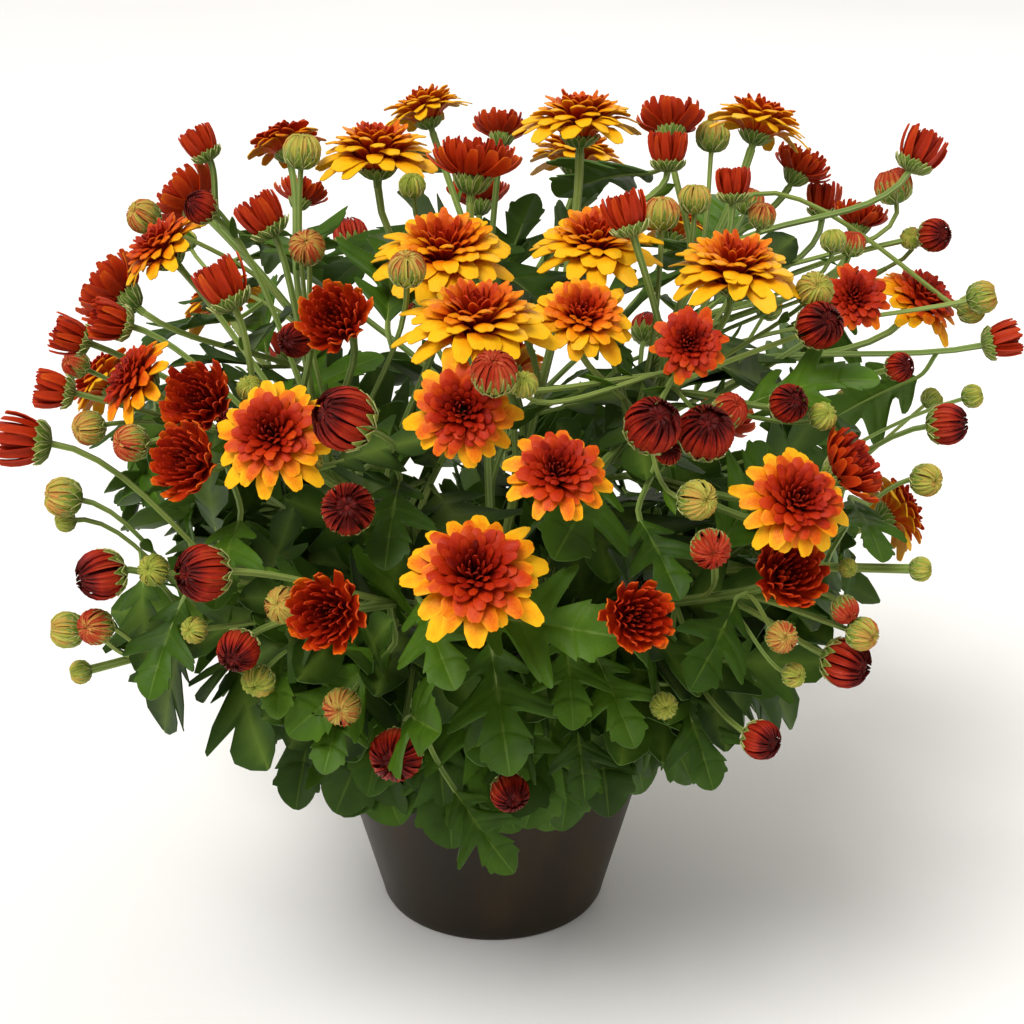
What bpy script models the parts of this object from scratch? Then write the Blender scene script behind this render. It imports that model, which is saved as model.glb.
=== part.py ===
"""A pot chrysanthemum: a tapered nursery pot, its soil, leafy stems and bicolour blooms.

Metres, +Z up. The origin is the middle of the pot's underside, and the plant is seen from -Y.
Every flower head is set out by where it shows in the front view and by the domed outline of the bush.
The stems, stalks and leaves then grow to those heads by rule.
"""

import math
import random
from collections import namedtuple

import bmesh
import bpy
from mathutils import Matrix, Vector
from mathutils.bvhtree import BVHTree

# Driving dimensions of the pot and its soil
POT_HEIGHT = 0.108
POT_RIM_RADIUS = 0.076
POT_BASE_RADIUS = 0.0465
POT_NECK_RADIUS = 0.0695
POT_BAND_HEIGHT = 0.020
POT_BAND_TAPER = 0.0015
POT_WALL = 0.0018
POT_SEGMENTS = 24
SOIL_SEGMENTS = 12
DRAIN_HOLES = 6
DRAIN_RADIUS = 0.005
DRAIN_CIRCLE = 0.031
SOIL_TOP = 0.096
STEM_DEPTH = 0.028
GAP = 0.0004
SEED = 7

# Colours of the solids, as linear red, green and blue
POT_COLOUR = (0.03, 0.024, 0.018)
SOIL_COLOUR = (0.02, 0.012, 0.008)
OPEN_COLOUR = (0.75, 0.2, 0.01)
RED_COLOUR = (0.35, 0.015, 0.01)
GREEN_COLOUR = (0.06, 0.13, 0.02)

# Driving dimensions of the bush: the dome that the flower heads lie on
DOME_CENTRE = Vector((0.0, 0.0, 0.165))
DOME_RADIUS = 0.200
DOME_HEIGHT = 0.165

# The front view: where it is seen from, in metres, and its picture, in pixels
EYE = Vector((0.008, -0.788, 0.489))
PITCH = math.radians(22)
PICTURE_MIDDLE = 512
FOCAL_PIXELS = 2133
RIGHT = Vector((1, 0, 0))
UP = Vector((0, math.sin(PITCH), math.cos(PITCH)))
TOWARD = Vector((0, -math.cos(PITCH), math.sin(PITCH)))

# Stems and stalks: each ring of stems has a radius of its holes in the soil, a count, a first azimuth
# and the angle from straight up that its stems lean towards
STEM_RINGS = ((0.0, 1, 0, 0), (0.022, 5, 18, 36), (0.045, 9, 10, 68))
STEM_RADIUS = 0.0024
STEM_TOP_RADIUS = 0.0016
STEM_SIDES = 4
STEM_STEPS = 5
STALK_RADIUS = {"open": 0.0014, "half": 0.0014, "brush": 0.0013, "ball": 0.0012, "bud": 0.001, "pip": 0.0009}
STALK_SIDES = {"open": 4, "half": 4, "brush": 5, "ball": 5, "bud": 4, "pip": 4}
STALK_SHORTEST = 0.012
STALK_SHORT = 0.024
STALK_FORK = 0.6
STALK_THRIFT = 4.0
HEAD_TRIES = 8
HEAD_STEP = 0.003
# Bends tried in turn: how far a stem or stalk runs straight on at each of its ends, as a share of its length
STEM_BENDS = ((0.35, 0.3), (0.25, 0.3), (0.35, 0.15), (0.2, 0.15), (0.45, 0.4), (0.15, 0.05), (0.5, 0.1))
STALK_BENDS = ((0.35, 0.3), (0.2, 0.15), (0.45, 0.1), (0.1, 0.4), (0.05, 0.05))
FAN_POINT = Vector((0.0, 0.0, 0.090))

# One row per flower head: its kind, its picture place in pixels, its width in millimetres,
# the way it faces (right, up, toward the viewer), and its reach as a share of the dome.
# A negative reach puts it on the far side of the dome.
Head = namedtuple("Head", "kind px py across face reach")
HEADS = [
    Head("open", 475, 572, 47, (0.0, 0.45, 0.9), 1.0),
    Head("open", 463, 410, 38, (0.0, 0.15, 1.0), 0.95),
    Head("open", 477, 318, 46, (0.0, 0.85, 0.5), 1.0),
    Head("open", 445, 250, 46, (0.0, 0.8, 0.6), 1.0),
    Head("open", 583, 315, 36, (0.1, 0.6, 0.8), 1.0),
    Head("open", 595, 243, 43, (0.0, 0.85, 0.5), 0.97),
    Head("open", 735, 266, 42, (0.05, 0.85, 0.5), 1.0),
    Head("open", 923, 298, 38, (0.45, 0.6, 0.6), 1.0),
    Head("open", 558, 472, 35, (0.1, 0.5, 0.85), 1.0),
    Head("open", 797, 500, 40, (0.2, 0.35, 0.9), 1.02),
    Head("open", 689, 344, 27, (0.0, 0.2, 1.0), 0.98),
    Head("open", 272, 433, 41, (-0.1, 0.3, 0.95), 1.0),
    Head("open", 133, 378, 36, (-0.75, 0.5, 0.45), 1.0),
    Head("open", 160, 245, 38, (-0.6, 0.7, 0.4), 1.0),
    Head("open", 377, 150, 42, (0.0, 1.0, 0.3), 1.0),
    Head("open", 425, 108, 34, (-0.3, 0.95, 0.05), -1.0),
    Head("open", 580, 118, 43, (0.0, 1.0, 0.25), 1.0),
    Head("open", 760, 120, 38, (0.3, 1.0, 0.0), 1.0),
    Head("open", 855, 298, 27, (0.1, 0.3, 0.95), 0.97),
    Head("open", 285, 142, 33, (-0.25, 0.95, -0.2), -1.0),
    Head("half", 475, 152, 32, (0.1, 1.0, 0.1), 1.0),
    Head("half", 640, 617, 24, (0.3, 0.05, 0.95), 0.98),
    Head("half", 857, 462, 28, (0.75, 0.5, 0.4), 1.0),
    Head("half", 793, 572, 27, (0.3, 0.25, 0.9), 0.95),
    Head("half", 323, 613, 27, (-0.35, 0.0, 0.93), 1.0),
    Head("half", 107, 285, 32, (-0.8, 0.6, -0.1), 0.97),
    Head("half", 183, 192, 30, (-0.7, 0.7, -0.2), 0.95),
    Head("half", 194, 397, 27, (-0.4, 0.25, 0.85), 0.97),
    Head("half", 180, 460, 27, (-0.55, 0.15, 0.8), 1.0),
    Head("half", 332, 315, 26, (-0.3, 0.3, 0.9), 1.0),
    Head("half", 503, 122, 24, (0.1, 1.0, -0.2), -1.0),
    Head("half", 670, 115, 27, (0.0, 1.0, -0.35), -1.0),
    Head("half", 805, 160, 24, (0.5, 0.85, 0.0), 1.0),
    Head("half", 303, 188, 22, (0.2, 0.9, -0.2), -0.98),
    Head("half", 862, 210, 22, (0.2, 0.95, 0.15), 0.97),
    Head("brush", 29, 441, 20, (-1.0, 0.1, 0.1), 1.0),
    Head("brush", 918, 155, 18, (0.45, 0.9, 0.1), 1.0),
    Head("brush", 998, 342, 16, (0.9, 0.2, 0.1), 1.0),
    Head("brush", 225, 290, 19, (-0.45, 0.85, 0.15), 1.0),
    Head("brush", 265, 220, 17, (-0.5, 0.8, 0.2), 1.0),
    Head("brush", 628, 218, 16, (-0.3, 0.95, 0.15), 1.06),
    Head("brush", 668, 155, 16, (0.0, 1.0, 0.1), 0.97),
    Head("brush", 733, 188, 14, (0.0, 1.0, 0.15), 1.0),
    Head("brush", 115, 322, 16, (-0.85, 0.2, 0.4), 1.0),
    Head("brush", 75, 338, 15, (-0.85, 0.3, 0.3), 1.03),
    Head("brush", 58, 390, 15, (-0.9, 0.15, 0.2), 1.03),
    Head("brush", 823, 203, 15, (0.0, 1.0, 0.2), 1.0),
    Head("brush", 203, 147, 15, (-0.45, 0.85, 0.15), 1.05),
    Head("ball", 343, 418, 19, (-0.75, 0.3, 0.55), 1.04),
    Head("ball", 348, 509, 16, (0.0, 0.1, 1.0), 0.97),
    Head("ball", 202, 573, 17, (-0.7, -0.05, 0.65), 1.0),
    Head("ball", 100, 575, 16, (-0.8, -0.2, 0.5), 1.0),
    Head("ball", 396, 755, 17, (-0.1, -0.15, 0.98), 0.8),
    Head("ball", 847, 663, 16, (0.75, -0.25, 0.55), 0.95),
    Head("ball", 653, 425, 17, (0.3, 0.45, 0.8), 1.02),
    Head("ball", 706, 432, 17, (0.05, 0.5, 0.85), 1.0),
    Head("ball", 820, 325, 15, (0.4, 0.2, 0.9), 1.02),
    Head("ball", 948, 424, 14, (0.85, 0.05, 0.45), 1.0),
    Head("ball", 935, 235, 12, (0.5, 0.0, 0.85), 1.0),
    Head("ball", 789, 403, 12, (0.3, 0.15, 0.9), 1.0),
    Head("ball", 200, 207, 11, (-0.6, 0.3, 0.7), 1.02),
    Head("ball", 232, 425, 10, (-0.3, 0.2, 0.9), 0.93),
    Head("ball", 668, 452, 8, (0.0, 0.2, 1.0), 0.95),
    Head("ball", 295, 340, 11, (-0.4, -0.2, 0.8), 0.95),
    Head("ball", 900, 367, 9.5, (0.5, 0.1, 0.85), 1.0),
    Head("ball", 762, 740, 12.5, (0.6, -0.2, 0.75), 0.9),
    Head("ball", 510, 793, 12.5, (0.25, -0.4, 0.85), 0.78),
    Head("ball", 238, 651, 13, (-0.2, -0.45, 0.85), 0.95),
    Head("bud", 494, 372, 13, (0.0, 0.6, 0.75), 1.09),
    Head("bud", 407, 268, 11, (0.0, 0.7, 0.6), 1.06),
    Head("bud", 307, 247, 11, (0.0, 0.3, 0.95), 1.0),
    Head("bud", 302, 150, 12, (0.1, 0.9, 0.3), 1.05),
    Head("bud", 893, 185, 13, (-0.3, 0.9, 0.2), 1.0),
    Head("bud", 713, 135, 12, (0.1, 1.0, 0.1), 1.0),
    Head("bud", 695, 198, 10, (0.0, 1.0, 0.3), 1.0),
    Head("bud", 662, 212, 11, (0.0, 1.0, 0.4), 1.0),
    Head("bud", 815, 290, 11.5, (0.1, 0.3, 0.95), 1.05),
    Head("bud", 143, 216, 11.5, (-0.6, 0.3, 0.6), 1.02),
    Head("bud", 88, 428, 10.5, (-0.7, -0.2, 0.6), 1.0),
    Head("bud", 130, 443, 11, (-0.75, 0.0, 0.6), 1.0),
    Head("bud", 62, 497, 12, (-0.9, 0.1, 0.4), 1.0),
    Head("bud", 66, 630, 11, (-0.9, 0.0, 0.3), 1.0),
    Head("bud", 95, 627, 11, (-0.5, 0.0, 0.85), 0.97),
    Head("bud", 283, 605, 11, (-0.3, 0.1, 0.9), 0.93),
    Head("bud", 342, 707, 11.5, (-0.1, -0.15, 0.97), 0.85),
    Head("bud", 698, 500, 11.5, (0.55, 0.0, 0.8), 1.0),
    Head("bud", 711, 549, 11.5, (0.1, -0.3, 0.93), 1.0),
    Head("bud", 730, 410, 10.5, (0.5, 0.5, 0.65), 0.96),
    Head("bud", 927, 480, 10, (0.6, -0.1, 0.75), 1.0),
    Head("bud", 983, 297, 11, (0.9, 0.2, 0.2), 1.0),
    Head("bud", 972, 309, 10, (0.7, 0.0, 0.5), 0.90),
    Head("bud", 782, 637, 9.5, (0.2, 0.0, 0.97), 0.95),
    Head("bud", 863, 634, 10, (0.7, -0.2, 0.6), 0.97),
    Head("bud", 845, 610, 8.5, (0.4, -0.6, 0.6), 0.96),
    Head("bud", 762, 215, 9, (0.1, 0.8, 0.5), 0.97),
    Head("bud", 75, 364, 9, (-0.6, 0.3, 0.6), 0.95),
    Head("bud", 852, 243, 9, (0.1, 0.9, 0.3), 1.0),
    Head("pip", 833, 240, 8, (-0.1, 0.9, 0.3), 1.0),
    Head("pip", 524, 384, 7.5, (0.0, 0.6, 0.8), 1.0),
    Head("pip", 250, 388, 7.5, (0.0, 0.4, 0.9), 0.97),
    Head("pip", 310, 462, 7, (0.1, 0.3, 0.9), 0.97),
    Head("pip", 412, 185, 8, (0.0, 0.8, 0.5), 0.97),
    Head("pip", 911, 238, 7.5, (-0.4, 0.3, 0.8), 1.02),
    Head("pip", 973, 396, 7.5, (0.85, 0.2, 0.4), 1.0),
    Head("pip", 823, 416, 8, (0.4, 0.3, 0.85), 1.0),
    Head("pip", 921, 569, 7, (0.8, 0.0, 0.4), 1.0),
    Head("pip", 848, 568, 5.5, (0.3, -0.2, 0.8), 0.95),
    Head("pip", 794, 675, 7, (0.6, 0.0, 0.75), 0.93),
    Head("pip", 664, 706, 8, (0.1, -0.1, 0.95), 0.82),
    Head("pip", 258, 681, 9.5, (-0.2, -0.5, 0.8), 0.9),
    Head("pip", 194, 630, 7.5, (-0.4, 0.0, 0.85), 0.97),
    Head("pip", 153, 570, 9, (-0.3, 0.1, 0.9), 0.97),
    Head("pip", 80, 672, 7, (-0.9, -0.2, 0.4), 0.95),
    Head("pip", 65, 521, 6.5, (-0.8, -0.2, 0.5), 0.98),
]

# The side that the front view hides is filled by rule: kinds in turn, and their widths in millimetres
BACK_KINDS = ("open", "bud", "half", "pip", "open", "ball", "brush", "bud")
BACK_WIDTHS = {"open": 42, "half": 28, "brush": 17, "ball": 15, "bud": 11, "pip": 8}
BACK_TURNS = 66
BACK_HIGHEST = 0.97
BACK_LOWEST = -0.2
BACK_REACH = 0.97
HORIZON = 0.1
BACK_SPACING = 0.003
# The part of the front view, as the middle and half-sizes of an ellipse in pixels, that hides the heads behind it,
# and the part that the spread leaves keep within
BACK_VIEW = ((515, 400), (425, 290))
LEAF_VIEW = ((512, 430), (385, 330))
GOLDEN_ANGLE = math.pi * (3 - math.sqrt(5))

# How far the middle of each kind of head stands above the top of its stalk, as a share of its width
HEAD_LIFT = {"open": 0.16, "half": 0.28, "brush": 0.45, "ball": 0.45, "bud": 0.45, "pip": 0.45}
OWN_NODE_WIDTH = 24.5
# Half the depth of a head along its facing, as a share of its width
HEAD_DEPTH = {"open": 0.19, "half": 0.40, "brush": 0.5, "ball": 0.5, "bud": 0.5, "pip": 0.5}

# Green cup and closed head above the stalk: (share of the width along the facing, radius as a share)
CUP_RINGS = {"open": ((-0.13, 0.05), (-0.06, 0.15), (0.0, 0.16)), "half": ((-0.24, 0.06), (-0.12, 0.24), (0.0, 0.27))}
HEAD_RINGS = {
    "brush": ((0.12, 0.42), (0.70, 0.42), (1.08, 0.52), (0.90, 0.0)),
    "ball": ((0.12, 0.40), (0.60, 0.52), (0.94, 0.0)),
    "bud": ((0.12, 0.40), (0.60, 0.48), (0.96, 0.0)),
    "pip": ((0.35, 0.48), (0.95, 0.0)),
}

# Petal tiers of a bloom, from the lowest up: (tip radius, tip height, root radius, root height), in
# half-widths, and the radius and height of the notches of the lowest tier
PETAL_TIERS = {
    "open": ((1.0, 0.22, 0.60, 0.36), (0.80, 0.50, 0.38, 0.54), (0.50, 0.70, 0.0, 0.62)),
    "half": ((1.0, 0.66, 0.74, 0.86), (0.78, 1.12, 0.0, 1.06)),
}
PETAL_NOTCH = {"open": (0.70, 0.14), "half": (0.84, 0.44)}
PETAL_SHARE = 0.30
PETALS = ((40, 9), (30, 8), (0, 7))

# Leaves: half an outline (share of the length, share of the length to the side), and sizes in metres
LEAF_EDGE = ((0.20, 0.25), (0.34, 0.13), (0.54, 0.37), (0.64, 0.17), (0.86, 0.22))
LEAF_RIB = (0.34, 0.64)
LEAF_THICKNESS = 0.0014
LEAF_STALK_RADIUS = 0.0011
LEAF_STALK = 0.014
LEAF_BEND = math.radians(75)
LEAF_COUNT = 70
CLEARANCE = 0.0005
# Leaves that show in full in the front view: where the blade starts and ends, in pixels, and how far out
SeenLeaf = namedtuple("SeenLeaf", "root tip root_reach tip_reach")
SEEN_LEAVES = [
    SeenLeaf((490, 641), (510, 776), 0.66, 0.84),
    SeenLeaf((455, 790), (514, 873), 0.66, 0.82),
    SeenLeaf((390, 650), (288, 735), 0.70, 0.84),
    SeenLeaf((350, 685), (339, 777), 0.70, 0.84),
    SeenLeaf((565, 630), (573, 730), 0.70, 0.82),
    SeenLeaf((595, 655), (635, 748), 0.70, 0.84),
    SeenLeaf((575, 712), (585, 801), 0.66, 0.78),
    SeenLeaf((735, 600), (690, 690), 0.78, 0.86),
    SeenLeaf((680, 690), (713, 790), 0.72, 0.84),
    SeenLeaf((850, 500), (882, 562), 0.85, 0.96),
    SeenLeaf((184, 598), (149, 700), 0.84, 0.94),
    SeenLeaf((285, 640), (278, 719), 0.75, 0.86),
    SeenLeaf((420, 600), (455, 690), 0.72, 0.84),
    SeenLeaf((240, 520), (215, 610), 0.78, 0.90),
    SeenLeaf((640, 520), (680, 600), 0.78, 0.88),
    SeenLeaf((400, 480), (385, 570), 0.76, 0.88),
]
LEAF_REACH_TRIES = (0, -0.04, 0.04, -0.08, -0.12, 0.08)

Shape = namedtuple("Shape", "points faces")
Place = namedtuple("Place", "kind middle face across")
Piece = namedtuple("Piece", "shape tree middle reach owner")


def sight_line(px, py):
    """The direction in which the front view looks through one pixel of its picture."""
    across = (px - PICTURE_MIDDLE) / FOCAL_PIXELS
    above = (PICTURE_MIDDLE - py) / FOCAL_PIXELS
    return (RIGHT * across + UP * above - TOWARD).normalized()


def within_view(point, view):
    """Whether a point shows inside an ellipse of the front view."""
    (middle_x, middle_y), (half_x, half_y) = view
    depth = (EYE - point).dot(TOWARD)
    px = PICTURE_MIDDLE + (point - EYE).dot(RIGHT) / depth * FOCAL_PIXELS
    py = PICTURE_MIDDLE - (point - EYE).dot(UP) / depth * FOCAL_PIXELS
    return ((px - middle_x) / half_x) ** 2 + ((py - middle_y) / half_y) ** 2 < 1


def on_dome(px, py, reach):
    """Where a sight line meets the dome at a share of its size, or where it passes closest to it."""
    sight = sight_line(px, py)
    scale = Vector((1, 1, DOME_RADIUS / DOME_HEIGHT))
    start = (EYE - DOME_CENTRE) * scale
    step = sight * scale
    middle = -start.dot(step) / step.length_squared
    miss = (start + step * middle).length_squared
    spare = (DOME_RADIUS * abs(reach)) ** 2 - miss
    half_chord = math.sqrt(max(spare, 0) / step.length_squared)
    return EYE + sight * (middle + math.copysign(half_chord, -reach))


def front_places():
    """The heads of the table, in space."""
    places = []
    for head in HEADS:
        face = RIGHT * head.face[0] + UP * head.face[1] + TOWARD * head.face[2]
        middle = on_dome(head.px, head.py, head.reach)
        places.append(Place(head.kind, middle, face.normalized(), head.across / 1000))
    return places


def back_places(front):
    """Heads for the side that the front view hides, spaced on the dome by the golden angle."""
    places = []
    for turn in range(BACK_TURNS):
        height = BACK_HIGHEST + (BACK_LOWEST - BACK_HIGHEST) * turn / BACK_TURNS
        level = math.sqrt(1 - height * height)
        angle = turn * GOLDEN_ANGLE
        outward = Vector((level * math.cos(angle), level * math.sin(angle), height))
        middle = DOME_CENTRE + outward * Vector((DOME_RADIUS, DOME_RADIUS, DOME_HEIGHT)) * BACK_REACH
        kind = BACK_KINDS[len(places) % len(BACK_KINDS)]
        across = BACK_WIDTHS[kind] / 1000
        normal = outward * Vector((1, 1, DOME_RADIUS / DOME_HEIGHT))
        if normal.normalized().dot((EYE - middle).normalized()) > HORIZON or not within_view(middle, BACK_VIEW):
            continue
        if any((middle - near.middle).length < (across + near.across) / 2 + BACK_SPACING for near in front + places):
            continue
        face = (outward + Vector((0, 0, 0.5))).normalized()
        places.append(Place(kind, middle, face, across))
    return places


def reach_along(place, axis):
    """How far a head's flattened ball reaches along an axis."""
    along = place.face.dot(axis)
    wide = place.across / 2
    deep = place.across * HEAD_DEPTH[place.kind]
    return math.sqrt(max(wide * wide * (1 - along * along) + deep * deep * along * along, 0))


def apart(one, other, margin=0.001):
    """Whether some plane keeps two heads apart."""
    between = (other.middle - one.middle).normalized()
    axes = [between, one.face, other.face, (one.face + other.face), between + one.face, between - one.face]
    axes += [between + other.face, between - other.face, between - TOWARD * between.dot(TOWARD)]
    for axis in axes:
        if axis.length < 1e-6:
            continue
        axis = axis.normalized()
        distance = abs((other.middle - one.middle).dot(axis))
        if distance > reach_along(one, axis) + reach_along(other, axis) + margin:
            return True
    return False


def settled(places):
    """Heads that would cross slide along their sight lines, the nearer one towards the viewer."""
    places = list(places)
    for _ in range(60):
        moved = False
        for one in range(len(places)):
            for other in range(one + 1, len(places)):
                first, second = places[one], places[other]
                if (first.middle - second.middle).length > (first.across + second.across) / 2 + 0.001:
                    continue
                if apart(first, second):
                    continue
                moved = True
                nearer = (EYE - first.middle).length < (EYE - second.middle).length
                for index, sign in ((one, 1 if nearer else -1), (other, -1 if nearer else 1)):
                    place = places[index]
                    step = (EYE - place.middle).normalized() * (0.0007 * sign)
                    places[index] = place._replace(middle=place.middle + step)
        if not moved:
            break
    return places


def bezier(start, first, second, end, share):
    rest = 1 - share
    ends = start * rest ** 3 + end * share ** 3
    return ends + first * (3 * rest * rest * share) + second * (3 * rest * share * share)


def curve_points(start, leave, arrive, end, steps):
    length = (end - start).length
    first = start + leave * length
    second = end - arrive * length
    return [bezier(start, first, second, end, step / steps) for step in range(steps + 1)]


def dotted(curve, parts=4):
    """Closer points on the straight runs of a curve."""
    points = [a.lerp(b, part / parts) for a, b in zip(curve, curve[1:]) for part in range(parts)]
    return points + [curve[-1]]


def loft(path, radii, sides, twist=0.0):
    """A closed tube of rings along a path. A last radius of zero closes it to a point."""
    points, faces = [], []
    side = Vector((1, 0, 0))
    last = len(path) - 1
    for index, (centre, radius) in enumerate(zip(path, radii)):
        tangent = (path[min(index + 1, last)] - path[max(index - 1, 0)]).normalized()
        if index == last and radius == 0:
            points.append(centre)
            break
        turned = side - tangent * side.dot(tangent)
        if turned.length < 0.2:
            turned = tangent.orthogonal()
        side = turned.normalized()
        other = tangent.cross(side)
        for corner in range(sides):
            angle = math.tau * corner / sides + twist * index
            points.append(centre + side * (math.cos(angle) * radius) + other * (math.sin(angle) * radius))
    faces.append(list(range(sides))[::-1])
    rings = last if radii[-1] == 0 else last + 1
    for ring in range(rings - 1):
        for corner in range(sides):
            a, b = ring * sides + corner, ring * sides + (corner + 1) % sides
            faces.append([a, b, b + sides, a + sides])
    top = (rings - 1) * sides
    if radii[-1] == 0:
        faces += [[top + corner, top + (corner + 1) % sides, len(points) - 1] for corner in range(sides)]
    else:
        faces.append(list(range(top, top + sides)))
    return Shape(points, faces)


def placed(shape, seat, face, roll=0.0):
    """A shape modelled about +Z, moved to a seat and turned to a facing."""
    turn = face.to_track_quat("Z", "Y") @ Matrix.Rotation(roll, 3, "Z").to_quaternion()
    return Shape([seat + turn @ point for point in shape.points], shape.faces)


def bloom_shape(kind, across):
    """Tiers of petals about a middle, one closed skin: each tier overhangs the one below."""
    radius = across / 2
    petals = next(count for width, count in PETALS if across * 1000 >= width)
    tiers = PETAL_TIERS[kind]
    pitch = math.tau / petals

    def at(share, height, angle):
        return Vector((math.cos(angle) * share * radius, math.sin(angle) * share * radius, height * radius))

    points = [Vector((0, 0, 0))]
    faces = []
    notch_radius, notch_height = PETAL_NOTCH[kind]
    roots = []
    for petal in range(petals):
        roots.append(len(points))
        points.append(at(notch_radius, notch_height, pitch * petal))
    below = None
    for tier, (tip_radius, tip_height, root_radius, root_height) in enumerate(tiers):
        turn = pitch * 0.5 * (tier + 1)
        tips = []
        for petal in range(petals):
            length = 1.0 - 0.05 * ((petal * 7 + tier * 3) % 3)
            for edge in (-PETAL_SHARE, PETAL_SHARE):
                tips.append(len(points))
                points.append(at(tip_radius * length, tip_height, turn + pitch * (petal + edge)))
        closing = root_radius == 0
        if closing:
            centre = len(points)
            points.append(at(0, root_height, 0))
        else:
            inner = []
            for petal in range(petals):
                inner.append(len(points))
                points.append(at(root_radius, root_height, turn + pitch * petal))
        for petal in range(petals):
            following = (petal + 1) % petals
            left, right = roots[petal], roots[following]
            tip_left, tip_right = tips[petal * 2], tips[petal * 2 + 1]
            if tier == 0:
                faces += [[0, tip_left, left], [0, tip_right, tip_left], [0, right, tip_right]]
            else:
                faces += [[left, tip_right, tip_left], [left, right, tip_right]]
            if closing:
                faces += [[left, tip_left, centre], [tip_left, tip_right, centre], [tip_right, right, centre]]
            else:
                root, next_root = inner[petal], inner[following]
                faces += [[left, tip_left, root], [tip_left, tip_right, root], [tip_right, right, root]]
                faces.append([right, next_root, root])
        if not closing:
            roots = inner
    return Shape(points, faces)


def leaf_shape(base, root, tip, normal, arch, fold):
    """A lobed leaf: a stalk from its base to the blade's root, and two like faces that meet at the cut edge."""
    blade = (tip - root).length
    along = (tip - root).normalized()
    normal = (normal - along * normal.dot(along)).normalized()
    side = normal.cross(along)

    def at(share, aside, lift):
        bend = arch * blade * 4 * share * (1 - share) + abs(aside) * blade * fold + lift
        return root + along * (share * blade) + side * (aside * blade) + normal * bend

    half = LEAF_THICKNESS / 2
    points = []
    ahead = (root - base).normalized()
    for centre, tangent in ((base, ahead), (root, (ahead + along).normalized())):
        above = (normal - tangent * normal.dot(tangent)).normalized()
        beside = above.cross(tangent)
        points += [centre - beside * LEAF_STALK_RADIUS, centre + above * half]
        points += [centre + beside * LEAF_STALK_RADIUS, centre - above * half]
    faces = [[0, 1, 2, 3]]
    for corner in range(4):
        following = (corner + 1) % 4
        faces.append([corner, corner + 4, following + 4, following])
    edges = {}
    for sign in (-1, 1):
        edges[sign] = [4 if sign < 0 else 6]
        for share, aside in LEAF_EDGE:
            edges[sign].append(len(points))
            points.append(at(share, aside * sign, 0))
    end = len(points)
    points.append(at(1.0, 0, 0))
    for lift, base in ((half, 5), (-half, 7)):
        ribs = [base]
        for share in LEAF_RIB:
            ribs.append(len(points))
            points.append(at(share, 0, lift))
        for sign in (-1, 1):
            edge = edges[sign] + [end]
            cells = [(edge[0], edge[1], ribs[0]), (edge[1], ribs[1], ribs[0]), (edge[1], edge[2], ribs[1])]
            cells += [(edge[2], edge[3], ribs[1]), (edge[3], ribs[2], ribs[1]), (edge[3], edge[4], ribs[2])]
            cells += [(edge[4], edge[5], ribs[2]), (edge[5], edge[6], ribs[2])]
            for cell in cells:
                faces.append(list(cell) if (lift > 0) == (sign < 0) else list(cell)[::-1])
    return Shape(points, faces)


def piece_of(shape, owner):
    """A shape with what is needed to test what it touches."""
    tree = BVHTree.FromPolygons(shape.points, shape.faces)
    middle = sum(shape.points, Vector()) / len(shape.points)
    reach = max((point - middle).length for point in shape.points)
    return Piece(shape, tree, middle, reach, owner)


def shape_is_clear(shape, obstacles, owners):
    """Whether a shape crosses nothing but the pieces of its owners."""
    test = piece_of(shape, None)
    for piece in obstacles:
        if piece.owner in owners or piece in owners:
            continue
        if (test.middle - piece.middle).length > test.reach + piece.reach:
            continue
        if test.tree.overlap(piece.tree):
            return False
    return True


def tube_is_clear(path, radii, sides, obstacles, owners):
    """Whether a tube, a little swollen, stays out of everything that isn't its owners'."""
    wider = [radius + CLEARANCE if radius else 0 for radius in radii]
    return shape_is_clear(loft(path, wider, sides), obstacles, owners)


def seat_of(place):
    """Where the top of a head's stalk is."""
    return place.middle - place.face * (place.across * HEAD_LIFT[place.kind])


def stands_alone(place):
    """Whether a head is a node of its own, or one with its leafy stem."""
    return place.kind in ("open", "half") and place.across * 1000 >= OWN_NODE_WIDTH


def head_path(place):
    """The points and radii that finish a stalk: a cup under a bloom, or a whole closed head."""
    seat = seat_of(place)
    rings = CUP_RINGS.get(place.kind) or HEAD_RINGS[place.kind]
    drop = GAP if stands_alone(place) else 0
    path = [seat + place.face * (along * place.across - drop) for along, _ in rings]
    return path, [radius * place.across for _, radius in rings]


def spray_axes():
    """The holes in the soil, and the directions that their stems lean in."""
    axes = []
    for ring_radius, count, first, polar in STEM_RINGS:
        for step in range(count):
            azimuth = math.radians(first) + math.tau * step / count
            outward = Vector((math.cos(azimuth), math.sin(azimuth), 0))
            lean = outward * math.sin(math.radians(polar)) + Vector((0, 0, math.cos(math.radians(polar))))
            axes.append((outward * ring_radius, lean))
    return axes


def fork_stalk(place, stem, pieces, obstacles, owners):
    """A stalk from a stem to its head: the best fork and bend that stay clear of all else."""
    ends, end_radii = head_path(place)
    radius, sides = STALK_RADIUS[place.kind], STALK_SIDES[place.kind]
    options = []
    for share in range(6, len(stem) - 1):
        to_head = ends[0] - stem[share]
        ahead = (stem[share + 1] - stem[share - 1]).normalized()
        if to_head.length > STALK_SHORTEST:
            rank = abs(ahead.angle(to_head) - STALK_FORK) + to_head.length * STALK_THRIFT
            options.append((rank, share, ahead))
    options.sort(key=lambda option: option[0])
    found = None
    for _, share, ahead in options[:12]:
        for leave, arrive in STALK_BENDS:
            steps = 1 if (ends[0] - stem[share]).length < STALK_SHORT else 2
            curve = curve_points(stem[share], ahead * leave, place.face * arrive, ends[0], steps)
            path = curve + ends[1:]
            radii = [radius] * (steps + 1) + end_radii[1:]
            if tube_is_clear(path, radii, sides, obstacles, owners):
                found = found or (curve, loft(path, radii, sides))
                if tube_is_clear(path[1:], radii[1:], sides, pieces, ()):
                    return curve, loft(path, radii, sides)
    return found


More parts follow.
